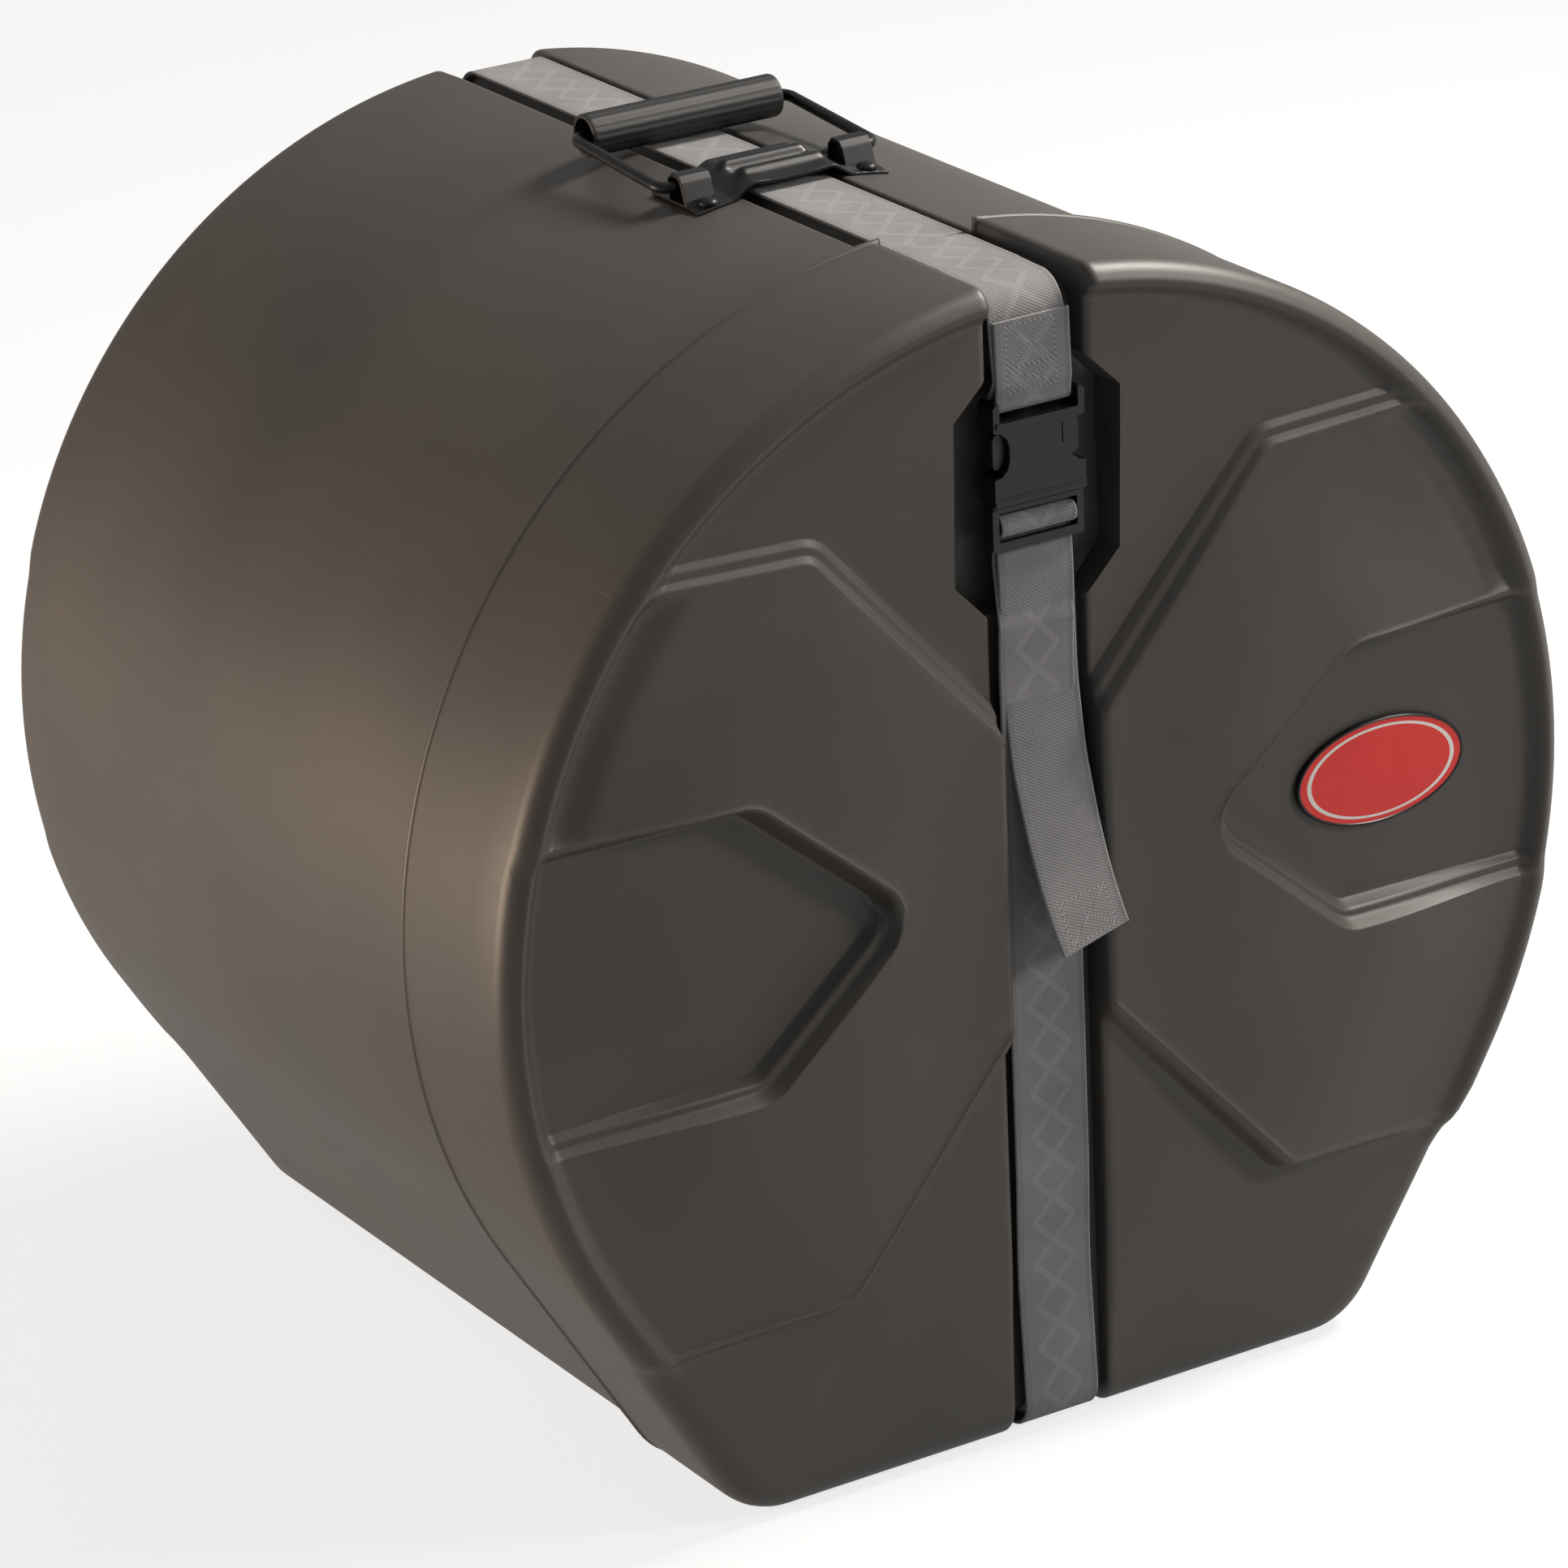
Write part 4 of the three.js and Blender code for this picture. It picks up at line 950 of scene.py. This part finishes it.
def bevelled(piece, width, segments, angle):
    bevel = piece.modifiers.new("edges", "BEVEL")
    bevel.width, bevel.segments, bevel.limit_method = width, segments, "ANGLE"
    bevel.angle_limit = math.radians(angle)


def combined(name, base, cuts=(), adds=(), edge=0.5, segments=2, angle=30):
    """Cuts and joins bodies, rounds the edges, and scales the result from millimetres to metres."""
    for others, operation in ((adds, "UNION"), (cuts, "DIFFERENCE")):
        for other in others:
            shape = base.modifiers.new("shape", "BOOLEAN")
            shape.operation, shape.solver, shape.object = operation, "EXACT", other
    bevelled(base, edge, segments, angle)
    mesh = evaluated(base)
    mesh.name = name
    mesh.transform(MILLIMETRES)
    for other in (base, *cuts, *adds):
        bpy.data.objects.remove(other)
    return finish_mesh(name, mesh, 50, True)


def make_socket():
    """The female half: windows for the prongs at both sides, open below and slotted above."""
    y0, y1 = FRONT + 6, FRONT + 21
    low, top = SOCKET_LOW, BUCKLE_TOP
    right = [(28, low), (29, low + 1), (29, 566.5), (24.5, 567.3), (20.5, 571), (19, 576),
             (19, 583), (20.5, 588), (24.5, 591.7), (29, 592.5), (29, top - 2), (27, top)]
    left = [(-x, z) for x, z in reversed(right)]
    base = prism(left[-2:] + right + left[:-2], y0, y1)
    cuts = [
        brick(-25.2, 25.2, y0 + 2.3, y1 - 2.3, low - 5, 596, 2),
        brick(-25, 25, y0 - 5, y1 + 5, 597.4, 603.1, 1.5),
        brick(-25, 25, y0 - 5, BUCKLE_Y - 2.4, 602, top + 5),
        brick(-25, 25, BUCKLE_Y + 2.4, y1 + 5, 602, top + 5),
        # A groove near the lower edge, and a moulding slit beside the right window
        brick(-26.5, 26.5, y0 - 2, y0 + 0.5, low + 4.2, low + 5.0),
        brick(13.8, 15.0, y0 - 2, y0 + 0.6, 579, 590.5, 0.5),
    ]
    adds = [brick(-27.5, 27.5, y0 - 0.9, y0 + 2, 594.2, 597.4, 1.0),
            brick(-29, 29, y0 - 0.5, y1 + 0.3, low, low + 2.6, 0.8)]
    return combined("buckle_female", base, cuts, adds, edge=0.45)


def make_plug():
    """The male half: a frame with the wrap bar across it, and its centre guide."""
    y, y0, y1 = BUCKLE_Y, BUCKLE_Y - 4, BUCKLE_Y + 4
    base = brick(-29, 29, y0, y1, PLUG_LOW, PLUG_HIGH, 2.2)
    cuts = [brick(-25, 25, y0 - 3, y1 + 3, PLUG_LOW + 5, PLUG_HIGH - 4.6, 1.2),
            brick(-25, 25, y + 0.1, y1 + 3, PLUG_LOW - 3, PLUG_HIGH - 4.6)]
    adds = [rod_x(3.4, -27, 27, y, WRAP_Z),
            brick(-4.5, 4.5, y - 3.2, y + 3.2, PLUG_HIGH - 3, 581.5, 1),
            brick(-28.4, 28.4, y0 - 0.7, y0 + 2, PLUG_HIGH - 3.2, PLUG_HIGH - 1.4, 0.6)]
    return combined("buckle_male", base, cuts, adds, edge=0.5)


def make_prong(side):
    """One of the plug's prongs, ribbed where a finger presses it."""
    y0, y1 = BUCKLE_Y - 3.4, BUCKLE_Y + 3.4
    arm = [(17.2, SOCKET_LOW), (21.4, SOCKET_LOW), (21.4, 568.5), (23, 569.7), (26.4, 571.2),
           (27.3, 573), (27.3, 587), (26.2, 589.4), (21, 591.6), (17.2, 591.6)]
    base = prism([(side * x, z) for x, z in arm], y0, y1)
    x0, x1 = sorted((side * 26.9, side * 27.6))
    ribs = [brick(x0, x1, y0 + 0.8, y1 - 0.8, z, z + 0.9) for z in (574, 577, 580, 583, 586)]
    return combined("buckle_prong_" + ("r" if side > 0 else "l"), base, (), ribs, edge=0.35)


# Handle

# Pivot (y, z) of the bail, its reach and half width, its wire, and the grip's radius
PIVOT = (-19.734, 673.459)
BODY_TOP = AXIS_Z + BODY["radius"]
BAIL_REACH, BAIL_HALF, WIRE, GRIP_RADIUS = 96, 70, 3.3, 12.5


def plate_height(x):
    """Top of the handle plate across the case: flat over the strap, then down on the body."""
    ax = np.abs(x)
    thick, gap, clear = 2.5, 0.3, 6
    on_body = AXIS_Z + np.sqrt((BODY["radius"] + gap + thick) ** 2 - ax ** 2)
    arch = BODY_TOP + clear + thick
    return arch + (on_body - arch) * smooth((ax - 24) / 17)


def make_plate():
    """The stamped plate: two ribs with a slot between them, an arched apron in front."""
    xs = np.linspace(-62, 62, 95)
    ys = np.array([-44.7, -44.2, -43, -41, -39, -37, -35, -33.5, -32.5, -31, -29.5, -28, -26.8,
                   -25.8, -24.4, -23.2, -22, -20.9, -19.9, -18.9, -18, -16.8, -15.6, -14.2, -13.2,
                   -12, -10.5, -9, -7.5, -6, -4, -2, 0, 2, 4, 5.2])
    gx, gy = np.meshgrid(xs, ys)
    z = plate_height(gx)
    middle = smooth((31 - np.abs(gx)) / 7)
    rib_height, rib_half, slot_depth, slot_y, slot_half, apron_y = 3.2, 4.2, 4.2, -19.9, 6.2, -33.5
    for rib_y in (-29.6, -10.2):
        z = z + rib_height * middle * np.sqrt(np.maximum(1 - ((gy - rib_y) / rib_half) ** 2, 0))
    slot = np.clip(1 - np.abs(gy - slot_y) / slot_half, 0, 1)
    z = z - slot_depth * smooth((29 - np.abs(gx)) / 6) * slot
    apron = smooth((apron_y - gy) / 9.0)
    z = z - apron * (1.0 + 1.2 * smooth((30 - np.abs(gx)) / 20))
    work = bmesh.new()
    rows = [[work.verts.new(p) for p in zip(*row)] for row in zip(gx, gy, z)]
    for a, b in zip(rows, rows[1:]):
        for i in range(len(a) - 1):
            work.faces.new((a[i], a[i + 1], b[i + 1], b[i]))
    mesh = bpy.data.meshes.new("sheet")
    work.to_mesh(mesh)
    work.free()
    base = placed("sheet", mesh)
    solid = base.modifiers.new("steel", "SOLIDIFY")
    solid.thickness, solid.offset = 2.2, -1
    bevelled(base, 0.5, 2, 50)
    mesh = evaluated(base)
    bpy.data.objects.remove(base)
    mesh.transform(MILLIMETRES)
    return finish_mesh("handle_stamping", mesh, 45)


def sweep(points, radius, sides):
    """A round rod along 3-D points."""
    p = np.array(points, float)
    along = unit(np.gradient(p, axis=0))
    verts = []
    side = np.cross(along[0], (0.3, 0.2, 1.0))
    for i in range(len(p)):
        side = side - (side @ along[i]) * along[i]
        side /= np.linalg.norm(side)
        other = np.cross(along[i], side)
        verts += [p[i] + side * u + other * v for u, v in turns(radius, sides)]
    return verts, skin(len(p), sides) + caps(len(p), sides)


def mesh_piece(name, verts, faces, angle=40, unit=1000):
    return finish_mesh(name, mesh_of(name, verts, faces, unit), angle)


KNUCKLE = [(-12.3, -9), (-11.6, -8), (-7.7, 3.3), (-4.4, 7.0), (3.0, 7.5), (7.2, 3.2), (8.0, -4),
           (8.2, -9), (5.8, -9), (5.6, -4), (4.9, 2), (2.1, 5.0), (-3.1, 4.7), (-5.3, 2.2),
           (-9.3, -8), (-10, -9)]


def make_knuckles():
    """Tabs of the plate folded over the wire at both ends, in flat facets with worn edges."""
    outline = [(PIVOT[0] + y, PIVOT[1] + z) for y, z in KNUCKLE]
    left = prism(outline, -62.0, -42.3, "x")
    right = prism(outline, 42.3, 62.0, "x")
    return combined("handle_knuckles", left, adds=[right], edge=0.7, segments=3, angle=12)


def handle_frame(u, v):
    """From the flat drawing of the bail, x and reach, to the case, laid back on its grip."""
    py, pz = PIVOT
    tilt = math.asin((BODY_TOP + GRIP_RADIUS + 0.3 - pz) / BAIL_REACH)
    return (u, py + v * math.cos(tilt), pz + v * math.sin(tilt))


def make_bail():
    half, reach = BAIL_HALF, BAIL_REACH
    corners = [(-45, 0), (-half, 0), (-half, reach), (half, reach), (half, 0), (45, 0)]
    line = rounded_path(corners, [8, 9, 9, 8], step=4)
    verts, faces = sweep([handle_frame(*p) for p in line], WIRE, 20)
    return mesh_piece("handle_wire", verts, faces)


def make_grip():
    """A ribbed tube, slightly fuller in the middle, open and hollow at both ends."""
    end = [(-50, 3.6), (-50, 9.6), (-62.2, 9.9), (-62.5, 10.2), (-62.5, 11.2), (-62.2, 11.9),
           (-61.2, 12.3)]
    profile = end + [(x, 12.35) for x in np.linspace(-60, 60, 41)] + [(-x, r) for x, r in end[::-1]]
    sides, ribs, rib = 72, 18, 0.22
    _, y, z = handle_frame(0, BAIL_REACH)
    verts = []
    for x, r in profile:
        for k in range(sides):
            a = 2 * math.pi * k / sides
            out = r + (rib * math.cos(a * ribs) if r > 12 and abs(x) < 60.5 else 0)
            verts.append((x, y + out * math.cos(a), z + out * math.sin(a)))
    return mesh_piece("handle_tube", verts, skin(len(profile), sides, ring=True), 40)


def make_rivets(names):
    """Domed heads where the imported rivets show, with their shanks down into the case."""
    verts, faces = [], []
    sides = 32
    rings = [(0.55, 0.012), (0.98, 0.0031), (1.0, 0.0026), (0.97, 0.0019), (0.82, 0.0010),
             (0.6, 0.0004), (0.3, 0.0001)]
    for name in names:
        (x0, y0, _), (x1, y1, top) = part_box(name)
        cx, cy, r = (x0 + x1) / 2, (y0 + y1) / 2, (x1 - x0) / 2
        start = len(verts)
        for share, drop in rings:
            verts += [(cx + u, cy + v, top - drop) for u, v in turns(r * share, sides)]
        faces += skin(len(rings), sides, start) + caps(len(rings), sides, start)
    return mesh_piece("handle_rivets", verts, faces, 50, unit=1)


# Badge: a plain domed oval in a frame


BADGE = (222.0, 340.0)
BADGE_BACK = FRONT + 11.9
BADGE_SIDES = 96
FRAME_OVAL, OVAL = (57.0, 31.0), (55.2, 29.2)


def oval(a, b, y):
    x, z = BADGE
    return [(x + a * u, y, z + b * v) for u, v in turns(1, BADGE_SIDES)]


def make_badge():
    """A thin black frame and, inside it, an enamelled oval with a slight dome."""
    rings = [(-1.8, -0.2), (0, -0.2), (0, 2.6), (-0.3, 3.2), (-0.8, 3.5), (-1.5, 3.4), (-1.8, 3.0)]
    verts = []
    for grow, out in rings:
        verts += oval(FRAME_OVAL[0] + grow, FRAME_OVAL[1] + grow, BADGE_BACK - out)
    base = mesh_piece("badge_frame", verts, skin(len(rings), BADGE_SIDES, ring=True), 35)
    verts = oval(*OVAL, BADGE_BACK - 1.0)
    rows, edge_height, dome = 14, 2.9, 0.9
    for k in range(rows):
        t = 1 - k / rows
        verts += oval(OVAL[0] * t, OVAL[1] * t, BADGE_BACK - edge_height - dome * (1 - t * t))
    faces = skin(rows + 1, BADGE_SIDES) + caps(rows + 1, BADGE_SIDES)
    return base, mesh_piece("badge_oval", verts, faces, 35)


def badge_enamel():
    """Red enamel with a plain white ring near its edge, by the oval's own shape."""
    material, tree, bsdf = shader("badge_enamel", "#d9241f", 0.22)
    m = Maths(tree)
    spot = node(tree, "TexCoord").outputs["Object"]
    parts = node(tree, "SeparateXYZ")
    tree.links.new(spot, parts.inputs[0])
    squares = []
    for axis, centre, half in (("X", BADGE[0], OVAL[0]), ("Z", BADGE[1], OVAL[1])):
        share = m.divide(m.subtract(parts.outputs[axis], centre / 1000), half / 1000)
        squares.append(m.multiply(share, share))
    reach = m.sqrt(m.add(*squares))
    band = near(m, m.subtract(reach, 0.89), 0.025)
    red = node(tree, "MixRGB", Color1=(*linear("#ea241f"), 1), Color2=(*linear("#f0342e"), 1))
    tree.links.new(texture(tree, spot, "Noise", Scale=60.0, Detail=2.0), red.inputs["Fac"])
    mix = node(tree, "MixRGB", Color2=(*linear("#f3efec"), 1))
    tree.links.new(band, mix.inputs["Fac"])
    tree.links.new(red.outputs["Color"], mix.inputs["Color1"])
    fed(tree, bsdf, Base_Color=mix.outputs["Color"])
    return material


# Foam


def foam_pad(name, form, inset, front, back, place):
    """A foam sheet against an end: flat faces, softly rounded edge, its notch for the channel."""
    b = Builder()
    chains = []
    for grow, depth in ((6, front), (2, front + 0.8), (0, front + 4), (0, back - 7),
                        (1.5, back - 2.5), (5, back - 0.5), (9, back)):
        line = notched(form, inset + grow, inset + grow, inset + grow * 0.4)
        chains.append(b.level(line, depth))
    for one, other in zip(chains, chains[1:]):
        b.bridge(one, other)
    b.faces += [tuple(chains[0]), tuple(chains[-1])]
    return mirrored_mesh(name, b, place)


def cut_away(piece, *cutters):
    """Cuts bodies given in millimetres out of a finished piece."""
    for cutter in cutters:
        cutter.data.transform(MILLIMETRES)
        hollow = piece.modifiers.new("hollow", "BOOLEAN")
        hollow.operation, hollow.solver, hollow.object = "DIFFERENCE", "EXACT", cutter
    shaped = evaluated(piece)
    piece.modifiers.clear()
    piece.data = shaped
    for cutter in cutters:
        bpy.data.objects.remove(cutter)
    return piece


def make_pads():
    """The pads of both ends, grooved behind the strap's channel and hollow behind the buckle."""
    wide = CHANNEL + 6
    lid = cut_away(foam_pad("lid_foam", LID, 5.6, 18.4, 44.9, lid_place),
                   brick(-wide, wide, FRONT, FRONT + 26, -5, 690, 0),
                   brick(-59.5, 59.5, FRONT, FRONT + 36, 480, 632, 3))
    back = cut_away(foam_pad("back_foam", BODY, 5.6, 19.8, 44.9, body_place),
                    brick(-wide, wide, REAR - 26, REAR, -5, 690, 0))
    return lid, back


def foam_lining():
    """The foam round the body's wall, from the mouth to the end's pad."""
    front, back = 46.0, DEPTH - SEAM + NECK - 0.6
    outer, inner, notch = 5.6, 20.0, 12.3
    b = Builder()
    loops = []
    for inset, depth in ((outer, front), (outer, back - 3), (outer + 0.9, back - 0.8),
                         (outer + 3, back), (inner - 3, back), (inner - 0.9, back - 0.8),
                         (inner, back - 3), (inner, back - 160), (inner, back - 320),
                         (inner, front)):
        grow = inset - outer
        line = notched(NECK_FORM, inset, notch + grow, notch + grow * 0.6)
        loops.append(b.level(line, depth))
    for one, other in zip(loops, loops[1:] + loops[:1]):
        b.bridge(one, other)
    return mirrored_mesh("body_lining_foam", b, body_place)


# More materials


def foam_look():
    """Open-cell foam: fine pores, slightly mottled."""
    material, tree, bsdf = shader("foam", "#2a2a2c", 0.97)
    spot = node(tree, "TexCoord").outputs["Object"]
    pores = texture(tree, spot, "Voronoi", Scale=900.0)
    mottle = texture(tree, spot, "Noise", Scale=45.0, Detail=5.0)
    fed(tree, bsdf, Base_Color=ramp(tree, mottle, (0, "#1f1f21"), (1, "#39393c")),
        Normal=bump(tree, pores, 0.5, 0.0006))
    return material


def worn(name, dark, light, roughness, spread, grain, depth, strength=0.25, stretch=(1, 1, 1),
         **more):
    """A hard surface whose tone and gloss vary a little, with a fine grain."""
    material, tree, bsdf = shader(name, dark, roughness, **more)
    spot = mapped(tree, node(tree, "TexCoord").outputs["Object"], stretch)
    cloud = texture(tree, spot, "Noise", Scale=70.0, Detail=5.0)
    fine = texture(tree, spot, "Noise", Scale=grain, Detail=3.0)
    gloss = node(tree, "MapRange", To_Min=roughness - spread, To_Max=roughness + spread)
    tree.links.new(cloud, gloss.inputs["Value"])
    fed(tree, bsdf, Base_Color=ramp(tree, cloud, (0.3, dark), (0.75, light)),
        Roughness=gloss.outputs["Result"], Normal=bump(tree, fine, strength, depth))
    return material


# The case put together


def piece_done(piece, body, material, slot, *nodes):
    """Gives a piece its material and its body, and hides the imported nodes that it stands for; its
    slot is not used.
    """
    piece.data.materials.clear()
    piece.data.materials.append(material)
    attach(piece, body)
    if nodes:
        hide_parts(*nodes)
    return piece


plastic, foam = case_plastic(), foam_look()
buckle = worn("buckle_plastic", "#0e0e0f", "#1a1a1c", 0.34, 0.08, 900.0, 0.0002)
enamel_frame = worn("badge_black", "#0b0b0c", "#151516", 0.3, 0.06, 700.0, 0.0001)
# Steel under a black lacquer, and bare for the washers
steel = worn("black_steel", "#0a0a0c", "#16161a", 0.4, 0.08, 260.0, 0.0002,
             Specular_IOR_Level=0.3, Coat_Weight=0.12, Coat_Roughness=0.3)
washer = worn("washer_steel", "#8b8c8f", "#b4b4b6", 0.3, 0.08, 500.0, 0.0001, Metallic=1.0)
grip = worn("grip_plastic", "#121213", "#1f1f20", 0.55, 0.08, 900.0, 0.0003, 0.4, (0.12, 1, 1))

piece_done(make_lid(), "lid", plastic, "case_plastic", "lid_shell")
piece_done(make_body(), "case_body", plastic, "case_plastic", "body_shell")

for piece, body, node_name, motif, patches in make_straps():
    piece_done(piece, body, webbing(node_name + "_webbing", motif, patches), "webbing", node_name)

piece_done(make_socket(), "lid", buckle, "buckle_plastic", "buckle_socket")
piece_done(make_plug(), "lid", buckle, "buckle_plastic", "buckle_plug")
for side, word in ((1, "right"), (-1, "left")):
    piece_done(make_prong(side), "prong_" + word, buckle, "buckle_plastic", "buckle_prong_" + word)

piece_done(make_plate(), "case_body", steel, "black_steel", "handle_plate")
piece_done(make_knuckles(), "case_body", steel, "black_steel")
rivets = ["handle_rivet_" + str(i) for i in range(1, 5)]
piece_done(make_rivets(rivets), "case_body", steel, "black_steel", *rivets)
piece_done(make_bail(), "handle", steel, "black_steel", "handle_bail")
piece_done(make_grip(), "handle", grip, "grip_plastic", "handle_grip")

badge_frame, badge_oval = make_badge()
piece_done(badge_frame, "lid", enamel_frame, "badge_black", "badge_base")
piece_done(badge_oval, "lid", badge_enamel(), "badge_red", "badge_face")

lid_pad, back_pad = make_pads()
piece_done(lid_pad, "lid", foam, "foam", "lid_foam_pad")
piece_done(back_pad, "case_body", foam, "foam", "body_foam_pad")
lining = piece_done(foam_lining(), "case_body", foam, "foam", "body_foam_lining")

# The washers show as packed
for obj in frame["nodes"].values():
    if not obj.hide_render:
        for slot in obj.material_slots:
            slot.material = washer


# Floor, light and camera

ROOM, GLOSS_SKY, GLOSS_FLOOR = 0.13, 0.24, 0.5
FLOOR_SEEN, FLOOR_GLOW, FLOOR_DROP = 0.72, 0.05, -0.0005


def seen(tree, gloss):
    """1 to the camera and through clear surfaces, a share of it in gloss, 0 to other rays."""
    rays = node(tree, "LightPath").outputs
    m = Maths(tree)
    clear = m.maximum(rays["Is Camera Ray"], rays["Is Transmission Ray"])
    return m.maximum(clear, m.multiply(rays["Is Glossy Ray"], gloss))


def stage():
    """A wide white floor. It shows brighter to the camera, and keeps the case's shadow."""
    size = 9.0
    corners = [(*p, FLOOR_DROP) for p in rectangle(-size, size, -size, size)]
    mesh = mesh_of("floor", corners, [(0, 1, 2, 3)], unit=1)
    floor = placed("floor", mesh)
    material, tree, bsdf = shader("floor", "#8c8c8c", 0.95, Emission_Color=(1, 1, 1, 1))
    glow = Maths(tree).multiply_add(seen(tree, GLOSS_FLOOR), FLOOR_SEEN, FLOOR_GLOW)
    fed(tree, bsdf, Emission_Strength=glow)
    mesh.materials.append(material)


def lamp(name, place, aim, size, power, color):
    """A round lamp, its size in metres and its power in watts."""
    data = bpy.data.lights.new(name, "AREA")
    data.shape = "DISK"
    data.size = size
    data.energy = power
    data.color = linear(color)
    light = placed(name, data)
    light.location = place
    light.rotation_euler = (Vector(aim) - Vector(place)).to_track_quat("-Z", "Y").to_euler()


def world():
    """A dim even room that shows white to the camera, and in gloss."""
    made = bpy.data.worlds.new("studio")
    bpy.context.scene.world = made
    made.use_nodes = True
    tree = made.node_tree
    background = tree.nodes["Background"]
    background.inputs["Color"].default_value = (1, 1, 1, 1)
    strength = Maths(tree).multiply_add(seen(tree, GLOSS_SKY), 1 - ROOM, ROOM)
    fed(tree, background, Strength=strength)


def camera():
    """The photo's camera: its axes, a slight roll about its own axis, and its place."""
    data = bpy.data.cameras.new("camera")
    data.sensor_width = 36.0
    data.lens = 164.07
    data.clip_end = 50
    made = placed("camera", data)
    right = Vector((0.8554, -0.518, 0))
    up = Vector((0.1914, 0.3160, 0.9293))
    back = Vector((-0.4814, -0.7949, 0.3694))
    roll = math.radians(-2.66)
    r = right * math.cos(roll) + up * math.sin(roll)
    u = -right * math.sin(roll) + up * math.cos(roll)
    turn = Matrix((r, u, back)).transposed().to_4x4()
    made.matrix_world = Matrix.Translation((-1.9716, -3.25973, 1.8138)) @ turn
    bpy.context.scene.camera = made


stage()
world()
lamp("overhead", (2.0, -0.35, 2.65), (0, 0, 0.4), 1.0, 122, "#fff8f0")
lamp("front", (2.1, -2.1, 1.8), (0, 0, 0.35), 0.7, 36, "#fffaf4")
lamp("side", (-2.3, 0.8, 0.2), (-0.2, 0, 0.15), 1.2, 60, "#ffe2c6")
camera()
bpy.context.scene.view_settings.view_transform = "Standard"
